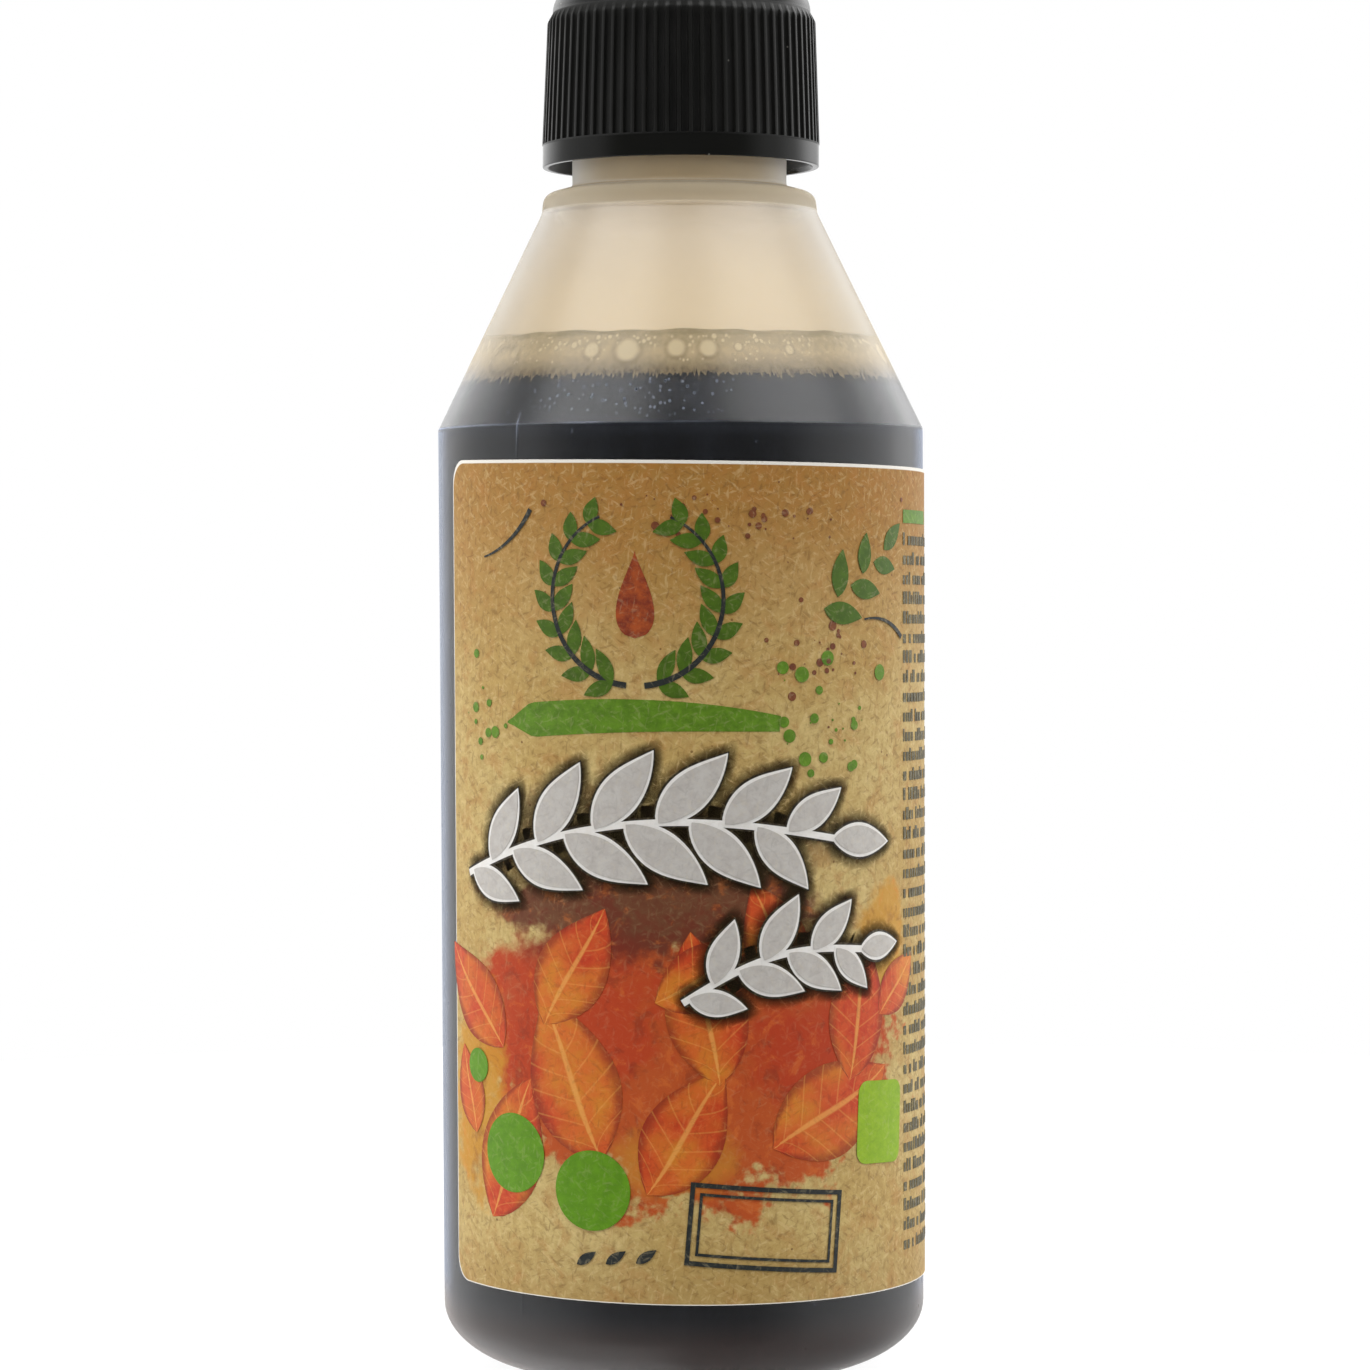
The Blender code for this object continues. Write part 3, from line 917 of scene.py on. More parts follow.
def milky_plastic():
    """Sheer matt skin whose cover is the sum of what scatters at each place: most in collar and
    neck, then at the crease, the seams, the slanting edges of the body and the foot, and
    least over the syrup, where only streaks, scratches and flecks show. Along the crease the cover
    is a painted highlight, stronger at the left. The extra cover at the sides of the neck is painted
    light, and the pinkish foot, stronger at the left, is partly painted warm light from below."""
    tree = Finish("milky_plastic")
    place, height = tree.place()
    x, slant = tree.split(place)["X"], tree.slant()
    over_syrup = tree.ramp(height, LEVEL + 0.4, LEVEL - 0.6)
    at_foot = tree.ramp(height, 11.5, 6.5)
    frosted = frosted_front(tree, place, height)

    streaky = tree.ramp(tree.noise(place, (420.0, 420.0, 60.0), 4.0, 0.6), 0.35, 0.7, 0.001, 0.013)
    scratches = tree.noise(place, (2600.0, 2600.0, 1700.0), 3.0, 0.6)
    streaky = tree.add(streaky, frosted, tree.ramp(scratches, 0.50, 0.66, 0.0, 0.045))
    away, chances = tree.cells(tree.stretched(place, (1.3, 1.3, 0.8)), 1500.0)
    speck = tree.times(tree.ramp(away, 0.34, 0.2), tree.above(chances[0], 0.985),
                       tree.ramp(frosted, 0.0, 1.0, 0.10, 0.35))
    away, chances = tree.cells(place, (1900.0, 1900.0, 1500.0))
    fleck = tree.times(tree.ramp(away, 0.40, 0.16), frosted, tree.above(chances[0], 0.52))
    fleck_tone = tree.mix(tree.above(chances[1], 0.34), rgb(112, 114, 118), rgb(24, 25, 27))
    streaky = tree.add(tree.plus(streaky, speck), fleck, 0.8)
    below_crease = tree.times(tree.ramp(height, CREASE - 1.8, CREASE - 0.6),
                              tree.ramp(height, CREASE, CREASE - 0.3))
    streaky = tree.add(streaky, below_crease, 0.02)

    cover = tree.plus(tree.ramp(height, LEVEL, LEVEL + 3.0, 0.0, 0.07),
                      tree.ramp(height, CONE_TOP - 0.2, CONE_TOP + 0.5, 0.0, 0.26))
    cover = tree.add(cover, over_syrup, streaky)
    # At the foot: partly the milky base's own scatter, partly painted warm light from the floor, stronger
    # at the left
    cover = tree.add(cover, at_foot, tree.ramp(x, 10.0 * MM, -12.0 * MM, 0.006, 0.045))
    # Painted light: the slanting sides of the neck get more cover and a near-white colour, so they read as
    # lit
    neck_side_light = tree.times(tree.ramp(slant, 0.2, 0.75), tree.ramp(height, NECK - 0.4, NECK + 0.4))
    cover = tree.add(cover, neck_side_light, 0.16)
    edge = tree.times(tree.ramp(slant, 0.66, 0.84, 0.0, 0.11), tree.ramp(height, CREASE, CREASE - 0.4),
                      tree.add(1.0, at_foot, -0.8))
    # Painted highlight: a thin pale line along the crease, stronger at the left, where its rounded edge
    # catches the light
    crease_highlight = tree.times(tree.ramp(height, CREASE - 0.16, CREASE),
                      tree.ramp(height, CREASE + 0.24, CREASE + 0.08),
                      tree.ramp(tree.noise(place, 160.0), 0.35, 0.6, 0.4, 1.0),
                      tree.ramp(x, 6.0 * MM, -10.0 * MM, 0.05, 0.20))
    cover = tree.add(tree.plus(cover, edge, crease_highlight), tree.stored("seam"), 0.3)

    gain = tree.ramp(height, CONE_TOP - 0.3, CONE_TOP + 0.3, 3.4, 0.15)
    low_shoulder = tree.times(over_syrup, tree.ramp(height, CREASE, CREASE + 0.3))
    gain = tree.add(gain, low_shoulder, -2.2)
    thicker = tree.add(1.0, tree.math("POWER", slant, 3.0), gain)
    cover = tree.math("MULTIPLY", tree.times(cover, thicker), tree.stored("outside"), clamp=True)
    colour = skin_colour(tree, height, over_syrup, at_foot, neck_side_light, fleck, fleck_tone)
    return tree.done({"Base Color": colour, "Roughness": 0.8, "Specular IOR Level": 0.0, "Alpha": cover})


add_piece(milky_mesh(), milky_plastic())

# %% [markdown]
# ## The screw cap
# The cap is moulded in black plastic: a plain rim, a skirt with narrow upright ribs for the
# fingers, and a smooth rounded top. Modelling one rib and copying it round would need joining
# at every rib. A formula of the azimuth that pushes the skirt in between the ribs needs none.

# %% Shape the cap
RIB_COUNT = 75
RIB_COLUMNS = 14
RIB_RELIEF = 0.44 * MM
RIM_HEIGHT = 2.4 * MM
RIB_FOOT = 2.6 * MM
RIB_TOP = 17.35 * MM
RIB_FADE = 0.04 * MM
RIB_RUN_OUT = 1.5 * MM
RIB_STEEP, RIB_MIDDLE = 1.5, 0.38
RIB_TOP_RADIUS = 15.34 * MM
CAP_SHOULDER = 16.5 * MM
CAP_TOP_RADIUS = 14.75 * MM
CAP_TOP_FOOT = 17.55 * MM
CAP_TOP_RUN = 3.1 * MM
CAP_BORE = 14.2 * MM
CAP_MOUTH = 15.15 * MM
CAP_CEILING = 19.4 * MM
CAP_HEIGHT = CAP_TOP - CAP_FOOT
# The cap sits a hair off the axis and leans by under a degree
CAP_ASIDE, CAP_LEAN = 0.165 * MM, 0.0094


def rib_relief(azimuth, radius, height):
    """Grooves between the ribs, and the tiny lean of the cap towards +X.

    A rib's crest is where steep (cos(n a) - middle) + 0.5, held from 0 to 1, is 1. The groove is
    relief (1 - crest), faded at both ends of the skirt.
    """
    up = height - CAP_FOOT
    crest = np.clip(RIB_STEEP * (np.cos(RIB_COUNT * azimuth) - RIB_MIDDLE) + 0.5, 0.0, 1.0)
    crest = crest * crest * (3.0 - 2.0 * crest)
    fade = (np.clip((up - RIB_FOOT) / RIB_FADE, 0.0, 1.0)
            * np.clip((RIB_TOP - up) / RIB_RUN_OUT, 0.0, 1.0))
    outside = radius > CAP_BORE + 0.5 * MM
    lean = (CAP_ASIDE + CAP_LEAN * up) * np.sin(azimuth)
    return np.where(outside, -RIB_RELIEF * (1.0 - crest) * fade, 0.0) + lean, np.zeros_like(radius)


def between(start, end, height):
    """Corner (radius, height, no ease) on the straight line between two corners."""
    share = (height - start[1]) / (end[1] - start[1])
    return (start[0] + (end[0] - start[0]) * share, height, 0.0)


def cap_outline():
    """From the ceiling inside, down the bore, round the rim and up over the top."""
    foot, shoulder = (CAP_RADIUS, RIB_FOOT, 0.0), (RIB_TOP_RADIUS, CAP_SHOULDER, 0.25 * MM)
    top_foot = (CAP_TOP_RADIUS, CAP_TOP_FOOT, 0.0)
    walls = eased([
        (0.0, CAP_CEILING, 0.0),
        (CAP_BORE, CAP_CEILING, 0.4 * MM),
        (CAP_BORE, 2.0 * MM, 0.3 * MM),
        (CAP_MOUTH, 0.0, 0.08 * MM),
        (CAP_RADIUS - 0.05 * MM, 0.0, 0.14 * MM),
        (CAP_RADIUS - 0.06 * MM, RIM_HEIGHT, 0.05 * MM),
        foot,
        between(foot, shoulder, RIB_FOOT + 0.5 * RIB_FADE),
        between(foot, shoulder, RIB_FOOT + RIB_FADE),
        between(foot, shoulder, RIB_TOP - RIB_RUN_OUT),
        shoulder,
        between(shoulder, top_foot, RIB_TOP - 0.2 * RIB_RUN_OUT),
        between(shoulder, top_foot, RIB_TOP),
        top_foot,
    ])
    a = np.linspace(0.0, math.pi / 2, 16)[1:]
    rounding = np.stack([CAP_TOP_RADIUS - CAP_TOP_RUN * (1.0 - np.cos(a)),
                         CAP_TOP_FOOT + (CAP_HEIGHT - CAP_TOP_FOOT) * np.sin(a)], axis=1)
    outline = np.concatenate([walls, rounding, [[0.0, CAP_HEIGHT]]])
    outline[:, 1] += CAP_FOOT
    return filled_in(outline, 3.4 * MM)


cap_mesh = turned("screw_cap", cap_outline(), round_azimuths(RIB_COUNT * RIB_COLUMNS), rib_relief)


def black_plastic():
    """Moulded black with a fine grain and a few specks of dust: satin on the skirt and inside,
    glossier on the rim, and glossiest on the smooth top."""
    tree = Finish("black_plastic")
    place, height = tree.place()
    sides = tree.split(place)
    rib_top = CAP + RIB_TOP / MM
    on_skirt = tree.ramp(height, CAP + RIM_HEIGHT / MM, CAP + RIB_FOOT / MM)
    on_top = tree.ramp(height, rib_top, rib_top + 0.4)
    underside = tree.ramp(height, CAP + 0.16, CAP + 0.04)
    from_axis = tree.math("SQRT", tree.plus(*[tree.math("POWER", sides[axis], 2.0) for axis in "XY"]))
    inside = tree.times(tree.ramp(from_axis, 15.2 * MM, 14.9 * MM), tree.less(1.0, on_top))

    black, grey = (0.0066, 0.0067, 0.0060, 1.0), (0.0100, 0.0101, 0.0090, 1.0)
    cloudy = tree.mix(tree.noise(place, 220.0, 4.0), black, grey)
    away, chances = tree.cells(place, 900.0)
    speck = tree.times(tree.above(chances[0], 0.985), tree.ramp(away, 0.14, 0.06), 0.5)
    rough = tree.ramp(tree.noise(place, 320.0, 5.0), 0.3, 0.7, 0.10, 0.15)
    rough = tree.add(tree.add(tree.add(rough, on_skirt, 0.27), inside, 0.3), on_top, -0.17)
    gloss = tree.add(tree.add(tree.add(0.17, on_skirt, 0.04), inside, -0.05), underside, 0.05)
    return tree.done({
        "Base Color": tree.coats(cloudy, (speck, (150, 148, 140))), "Roughness": rough,
        "Specular IOR Level": gloss, "Normal": tree.bump(0.18, 0.03, tree.noise(place, 5200.0, 2.0))})


add_piece(cap_mesh, black_plastic(), stands_for="cap")

# %% [markdown]
# ## The label
# The label is a sheet of brown kraft paper stuck round the body, a touch askew, with rounded
# corners and a pale cut edge. Its paper is a surface of two parameters too: how far round, and
# how far up. Drawing it flat in millimetres and wrapping it last keeps every shape simple.

# %% Lay the label round the body
LABEL_START = math.radians(-66.0)
LABEL_END = math.radians(250.0)
LABEL_BOTTOM = 11.0 * MM
LABEL_HEIGHT = 91.95 * MM
LABEL_SKEW = 0.0148
LABEL_CORNER = 2.7 * MM
LABEL_LIFT = 0.06 * MM
LABEL_SHEET = 0.12 * MM
LABEL_ROWS, LABEL_COLUMNS, LABEL_CORNER_STEPS = 40, 360, 16
LABEL_LEFT, LABEL_RIGHT = LABEL_START * BODY_RADIUS, LABEL_END * BODY_RADIUS
print(f"label {(LABEL_RIGHT - LABEL_LEFT) / MM:.1f} mm long and {LABEL_HEIGHT / MM:.1f} mm high")


def body_radius(height):
    """Radius of the body, which widens evenly from its foot to the crease."""
    share = (height - CORNER_RISE) / (CREASE_HEIGHT - CORNER_RISE)
    return FOOT_RADIUS + (BODY_RADIUS - FOOT_RADIUS) * share


def wrapped(across, up, lift):
    """Points of the body's surface from lengths along the label: across from its front middle,
    and up from its foot, with a = across / body radius and z = foot + up - skew across."""
    height = LABEL_BOTTOM + up - LABEL_SKEW * across
    return about_axis(across / BODY_RADIUS, body_radius(height) + lift, height)


def sheet(name, grids):
    """Closed sheets of paper or ink as one mesh, from grids of (across, up, lift, thickness) in
    metres: for each a front, the same grid as its back, and the rim between."""
    points, faces, count = [], [], 0
    for across, up, lift, thickness in grids:
        rows, columns = up.shape
        size = rows * columns
        points += [wrapped(across, up, lift + thickness), wrapped(across, up, lift)]
        front = grid_faces(rows, columns)
        rim = np.concatenate([np.arange(columns), np.arange(1, rows) * columns + columns - 1,
                              size - 2 - np.arange(columns - 1), np.arange(rows - 2, 0, -1) * columns])
        onwards = np.roll(rim, -1)
        edge = np.stack([rim, rim + size, onwards + size, onwards], axis=1)
        faces.append(np.concatenate([front, front[:, ::-1] + size, edge]) + count)
        count += 2 * size
    points = np.concatenate([grid.reshape(-1, 3) for grid in points])
    return mesh_from_arrays(name, points, np.concatenate(faces))


def add_flat_map(mesh, name, grids):
    """Store two numbers for each point as a UV map; a sheet's back has those of its front."""
    lengths = np.concatenate([grid.reshape(-1, 2) for grid in grids for _ in range(2)])
    layer = mesh.uv_layers.new(name=name)
    corners = np.zeros(len(mesh.loops), np.int32)
    mesh.loops.foreach_get("vertex_index", corners)
    layer.data.foreach_set("uv", lengths[corners].astype(np.float32).ravel())


def label_sheet():
    """Sheet of paper whose columns stop short at the corners by their circle."""
    t = np.linspace(0.0, 1.0, LABEL_CORNER_STEPS)
    corner = LABEL_CORNER * (1.0 - np.cos(math.pi / 2 * t))
    middle = np.linspace(LABEL_LEFT + LABEL_CORNER, LABEL_RIGHT - LABEL_CORNER, LABEL_COLUMNS)
    across = np.concatenate([LABEL_LEFT + corner[:-1], middle, (LABEL_RIGHT - corner[:-1])[::-1]])
    from_end = np.minimum(across - LABEL_LEFT, LABEL_RIGHT - across)
    missing = np.clip(LABEL_CORNER - from_end, 0.0, LABEL_CORNER)
    inset = LABEL_CORNER - np.sqrt(LABEL_CORNER ** 2 - missing ** 2)
    share = np.linspace(0.0, 1.0, LABEL_ROWS)[:, None]
    up = inset + (LABEL_HEIGHT - 2.0 * inset) * share
    across = np.broadcast_to(across, up.shape)
    mesh = sheet("label_paper", [(across, up, LABEL_LIFT, LABEL_SHEET)])
    add_flat_map(mesh, "label_mm", [np.stack([across / MM, up / MM], axis=-1)])
    return mesh


# %% [markdown]
# ## Paper and washes
# Kraft paper is a mat of fibres: short light and dark flecks that lie in every direction, over
# broad clouds. The printed inks are thin, so the same flecks show through all of them. That is
# why the grain is a node group, which paper and inks share. The soft orange and brown washes are
# part of the paper's own shader, because their edges fade and run as watercolour does.

# %% Group the paper's grain
SOCKETS = {"value": "NodeSocketFloat", "vector": "NodeSocketVector"}
# Turn in radians and shift of each layer of fibres, and their size across and along
FIBRE_TURNS = ((0.35, 0.0), (1.4, 31.0), (2.5, 67.0))
FIBRE_SIZE = (1.5, 0.5, 1.0)


def new_group(name, inputs, outputs):
    """Empty shader node group with sockets named by {name: kind}, its tree and its inputs."""
    group = bpy.data.node_groups.new(name, "ShaderNodeTree")
    for side, sockets in (("INPUT", inputs), ("OUTPUT", outputs)):
        for label, kind in sockets.items():
            group.interface.new_socket(name=label, in_out=side, socket_type=SOCKETS[kind])
    tree = Tree(group)
    return group, tree, tree.node("NodeGroupInput").outputs


def paper_grain():
    """Flecks from stretched noise turned three ways, and clouds from broad noise."""
    group, tree, given = new_group("paper_grain", {"Place": "vector"},
                                   {"Light": "value", "Dark": "value", "Clouds": "value"})
    flecks = []
    for turn, shift in FIBRE_TURNS:
        moved = tree.node("ShaderNodeMapping", {
            "Vector": given["Place"], "Location": (shift, shift, 0.0),
            "Rotation": (0.0, 0.0, turn), "Scale": FIBRE_SIZE}, vector_type="TEXTURE").outputs[0]
        flecks.append(tree.noise(moved, 1.0, 3.0, 0.55, 0.4))
    most, least = (tree.math(kind, tree.math(kind, flecks[0], flecks[1]), flecks[2])
                   for kind in ("MAXIMUM", "MINIMUM"))
    tree.node("NodeGroupOutput", {
        "Light": tree.ramp(most, 0.56, 0.72), "Dark": tree.ramp(least, 0.44, 0.28),
        "Clouds": tree.ramp(tree.noise(given["Place"], 0.75, 6.0, 0.72), 0.34, 0.66)})
    return group


GRAIN = paper_grain()


def grain_of(tree, flat):
    """The paper's grain placed in a material: light flecks, dark flecks and clouds."""
    node = tree.node("ShaderNodeGroup", node_tree=GRAIN)
    tree.fill(node.inputs["Place"], flat)
    return node.outputs["Light"], node.outputs["Dark"], node.outputs["Clouds"]


print("group", GRAIN.name, "with", len(GRAIN.nodes), "nodes")


# %% Group the wash of colour
def wash_spot():
    """Mask of a soft blot: an ellipse whose edge runs in and out by two sizes of noise."""
    group, tree, given = new_group("wash_spot", {
        "Place": "vector", "Middle": "vector", "Turn": "vector", "Shrink": "vector", "Edge": "value"},
        {"Mask": "value"})
    moved = tree.vector("SUBTRACT", given["Place"], given["Middle"])
    away = tree.vector("LENGTH", tree.node("ShaderNodeMapping", {
        "Vector": moved, "Rotation": given["Turn"], "Scale": given["Shrink"]}).outputs[0])
    for scale, reach in ((0.16, 1.5), (0.8, 0.4)):
        away = tree.add(away, tree.less(tree.noise(given["Place"], scale, 3.0, 0.6), 0.5), reach)
    tree.node("NodeGroupOutput", {"Mask": tree.ramp(away, 1.0, tree.less(1.0, given["Edge"]))})
    return group


WASH = wash_spot()
print("group", WASH.name, "with", len(WASH.nodes), "nodes")
# Each wash: middle across and up in mm, half length and half height in mm, turn in degrees,
# softness of the edge from 0 to 1, how strong, and its colour
WASHES = (
    (1.0, 27.0, 26.0, 17.0, 6.0, 0.16, 0.97, (182, 76, 28)),
    (-14.0, 31.0, 14.0, 12.0, 20.0, 0.4, 0.95, (180, 62, 27)),
    (16.0, 27.0, 12.0, 8.0, -28.0, 0.5, 0.9, (176, 56, 24)),
    (-2.0, 15.5, 11.0, 4.5, 0.0, 0.6, 0.8, (190, 122, 40)),
    (-27.0, 22.0, 5.5, 13.0, 0.0, 0.35, 0.85, (196, 138, 40)),
    (26.0, 39.0, 5.0, 8.0, 12.0, 0.35, 0.8, (196, 142, 48)),
    (-3.0, 43.5, 24.0, 6.5, -3.0, 0.3, 0.92, (96, 46, 30)),
    (-12.0, 38.5, 10.0, 3.0, 4.0, 0.6, 0.8, (118, 40, 22)),
    (8.0, 50.5, 14.0, 4.0, 14.0, 0.6, 0.55, (92, 82, 56)),
    (-15.0, 53.0, 11.0, 4.0, -10.0, 0.6, 0.45, (104, 86, 58)),
)


def washed(tree, flat, colour):
    """Lay every wash over a colour, then let the pigment settle darker and paler in places."""
    covered = 0.0
    for x, y, length, height, turn, edge, strength, tone in WASHES:
        node = tree.node("ShaderNodeGroup", node_tree=WASH)
        values = (flat, (x, y, 0.0), (0.0, 0.0, math.radians(-turn)),
                  (1.0 / length, 1.0 / height, 0.0), edge)
        for socket, value in zip(node.inputs, values):
            tree.fill(socket, value)
        share = tree.times(node.outputs["Mask"], strength)
        colour = tree.coats(colour, (share, tone))
        covered = tree.math("MAXIMUM", covered, share)
    pigment = tree.noise(flat, 0.32, 7.0, 0.68, 0.5)
    return tree.coats(
        colour,
        (tree.times(covered, tree.ramp(pigment, 0.52, 0.64, 0.0, 0.42)), (112, 40, 24)),
        (tree.times(covered, tree.ramp(pigment, 0.46, 0.34, 0.0, 0.34)), (222, 122, 52)))


# %% Finish the kraft paper
# What stays bare round the print, in mm: at both ends, along the foot and along the top
BARE_ENDS, BARE_FOOT, BARE_TOP = 0.14, 0.10, 0.36


def past_print(tree, flat):
    """Distance in mm outside the printed area, a box with the label's round corners:
    length(max(|p - middle| - half + corner, 0)) - corner."""
    left, right = LABEL_LEFT / MM + BARE_ENDS, LABEL_RIGHT / MM - BARE_ENDS
    low, high = BARE_FOOT, LABEL_HEIGHT / MM - BARE_TOP
    corner = LABEL_CORNER / MM
    middle = (0.5 * (left + right), 0.5 * (low + high), 0.0)
    inner = (0.5 * (right - left) - corner, 0.5 * (high - low) - corner, 0.0)
    beyond = tree.vector("SUBTRACT", tree.vector("ABSOLUTE", tree.vector("SUBTRACT", flat, middle)), inner)
    beyond = tree.vector("MULTIPLY", tree.vector("MAXIMUM", beyond), (1.0, 1.0, 0.0))
    return tree.less(tree.vector("LENGTH", beyond), corner)


def kraft_paper():
    """Brown paper, browner at its top and foot and in blotches, and darker towards its sides as
    painted shade where the label turns away from the front, with washes, flecks and a bare cut edge."""
    tree = Finish("kraft_paper")
    flat = tree.flat_map("label_mm")
    sides = tree.split(flat)
    light, dark, clouds = grain_of(tree, flat)
    aside = tree.math("ABSOLUTE", sides["X"])
    away, chances = tree.cells(flat, 0.9)
    speck = tree.times(tree.ramp(away, 0.17, 0.09), tree.above(chances[0], 0.965), 0.7)
    blotches = tree.ramp(tree.noise(flat, 0.3, 5.0, 0.65, 0.6), 0.48, 0.68, 0.0, 0.42)
    paper = tree.mix(tree.ramp(tree.noise(flat, 0.07), 0.3, 0.7), rgb(188, 158, 94), rgb(208, 186, 125))
    paper = tree.coats(
        paper,
        (tree.ramp(sides["Y"], 60.0, 92.0, 0.0, 0.92), (158, 104, 36)),
        (tree.ramp(sides["X"], -5.0, -30.0, 0.0, 0.1), (216, 186, 118)),
        (tree.ramp(sides["Y"], 9.0, 0.0, 0.0, 0.4), (150, 118, 66)),
        # Painted shade: darker towards the sides, where the label turns away from the front
        (tree.ramp(aside, 14.0, 30.0, 0.0, 0.10), (140, 108, 48)),
        (tree.times(clouds, 0.5), (158, 124, 66)),
        (blotches, (172, 118, 60)),
        (tree.times(light, 0.21), (234, 210, 156)),
        (tree.times(dark, 0.42), (106, 70, 30)),
        (speck, (96, 54, 26)))
    colour = tree.coats(
        washed(tree, flat, paper),
        (tree.times(light, 0.07), (222, 198, 146)),
        (tree.ramp(past_print(tree, flat), -0.05, 0.05), (236, 232, 222)))
    return tree.done({"Base Color": colour, "Roughness": 0.6, "Specular IOR Level": 0.22,
                      "Normal": tree.bump(0.2, 0.02, tree.less(light, dark))})


add_piece(label_sheet(), kraft_paper(), stands_for="label")

# %% [markdown]
# ## The print
# Everything printed crisply is one kind of surface: a ribbon, which is a path with a half-width
# to each side. A leaf is a short ribbon that swells and ends in points, a disc is one whose
# half-width is a circle's, and a stem or a ruled line is a long narrow one. Each ink is a sheet
# of its own, about a hundredth of a millimetre thick, laid a little above the one before.

# %% Cut ribbons of ink
INK_SHEET = 0.012 * MM
INK_STEP = 0.0015 * MM
INK_LIFTS = 20
LEAF_TIP = 0.85
LINE_STEP = 0.8


def about(middle, turn, points):
    """Flat points turned by an angle in degrees and moved to a middle."""
    a = math.radians(turn)
    return points @ np.array([[math.cos(a), math.sin(a)], [-math.sin(a), math.cos(a)]]) + np.array(middle)


def ribbon(path, half_width, across=2):
    """Grid of flat points: path + s half_width (right-hand normal), for s from -1 to 1."""
    path = np.asarray(path, float)
    onwards = np.gradient(path, axis=0)
    onwards /= np.linalg.norm(onwards, axis=1, keepdims=True)
    normal = np.stack([onwards[:, 1], -onwards[:, 0]], axis=1)
    s = np.linspace(-1.0, 1.0, across + 1)
    half = np.broadcast_to(np.asarray(half_width, float), len(path))
    flat = path[:, None] + normal[:, None] * (half[:, None] * s)[..., None]
    t = np.broadcast_to(np.linspace(0.0, 1.0, len(path))[:, None], flat.shape[:2])
    return flat, np.stack([t, np.broadcast_to(s, t.shape)], axis=-1)


def leaf(x, y, length, width, turn, bend=0.0, steps=14, across=2, grow=0.0):
    """Leaf from its foot at (x, y): half-width width/2 sin(pi t^tip)^0.9, midrib bent sideways by
    bend length sin(pi t / 2)^2. All in mm and degrees; grow widens it all round."""
    t = np.linspace(0.0, 1.0, steps)
    a = math.radians(turn)
    forward, side = np.array([math.cos(a), math.sin(a)]), np.array([-math.sin(a), math.cos(a)])
    run = (length + 2.0 * grow) * t - grow
    bow = bend * length * np.sin(0.5 * math.pi * t) ** 2
    path = np.array([x, y]) + run[:, None] * forward + bow[:, None] * side
    half = (0.5 * width + grow) * np.sin(math.pi * t ** LEAF_TIP) ** 0.9
    return ribbon(path, np.maximum(half, 0.03), across)


def disc(x, y, radius, steps, across):
    """Disc: half-width sqrt(radius^2 - run^2) along a straight path."""
    run = -radius * np.cos(np.linspace(0.0, math.pi, steps))
    path = np.stack([x + run, np.full(steps, y)], axis=1)
    return ribbon(path, np.maximum(np.sqrt(np.maximum(radius ** 2 - run ** 2, 0.0)), 0.02), across)


def line(start, end, half_width):
    """Straight stroke, cut into steps of less than a millimetre so that it follows the curve."""
    start, end = np.asarray(start, float), np.asarray(end, float)
    count = 1 + max(1, math.ceil(abs(end[0] - start[0]) / LINE_STEP))
    path = start + (end - start) * np.linspace(0.0, 1.0, count)[:, None]
    return ribbon(path, half_width, 1)


def frame_lines(x, y, width, height, turn, half):
    """Four strokes of a frame about (x, y), turned by an angle in degrees."""
    corners = np.array([[-1, -1], [1, -1], [1, 1], [-1, 1], [-1, -1]]) * (0.5 * width, 0.5 * height)
    corners = about((x, y), turn, corners)
    overrun = [(b - c) / np.linalg.norm(b - c) * half for c, b in zip(corners, corners[1:])]
    return [line(c - o, b + o, half) for c, b, o in zip(corners, corners[1:], overrun)]


def scattered(dice, middle, spread, sizes, count, steps, ceiling=math.inf):
    """Small discs thrown about a middle, below a ceiling: radius uniform^1.6, so most are tiny."""
    across, up = (dice.normal(middle[k], spread[k], count) for k in (0, 1))
    return [disc(x, y, r, steps, 4) for x, y, r in zip(across, up, dice.uniform(*sizes, count) ** 1.6)
            if y < ceiling]


print(f"each ink is {INK_SHEET / MM:.3f} mm thick")


# %% Mix and lay the inks
# Two tones of each ink, and how strongly the paper's flecks show through it
INKS = {
    "outline_ink": ((50, 42, 24), (40, 32, 20), 0.12),
    "white_ink": ((236, 234, 230), (228, 224, 218), 0.06),
    "grey_ink": ((196, 192, 186), (184, 178, 172), 0.12),
    "green_ink": ((98, 138, 30), (80, 116, 22), 0.14),
    "deep_green_ink": ((76, 106, 22), (62, 90, 16), 0.14),
    "bright_green_ink": ((98, 148, 20), (86, 134, 16), 0.1),
    "light_green_ink": ((144, 178, 26), (130, 166, 22), 0.1),
    "brown_ink": ((128, 74, 42), (104, 54, 34), 0.2),
    "amber_ink": ((168, 78, 34), (120, 46, 28), 0.14),
    "dark_ink": ((44, 48, 46), (34, 38, 38), 0.18),
    "tick_ink": ((96, 88, 56), (74, 68, 44), 0.24),
}


def printed_ink(name, tone, deeper, strength):
    """Ink in two tones that follow clouds, with the paper's flecks showing through."""
    tree = Finish(name)
    light, dark, clouds = grain_of(tree, tree.flat_map("label_mm"))
    colour = tree.coats(
        tree.mix(clouds, rgb(*tone), rgb(*deeper)),
        (tree.times(light, strength), (214, 198, 156)),
        (tree.times(dark, strength), (60, 50, 34)))
    return tree.done({"Base Color": colour, "Roughness": 0.5, "Specular IOR Level": 0.25,
                      "Normal": tree.bump(0.15, 0.02, tree.less(light, dark))})


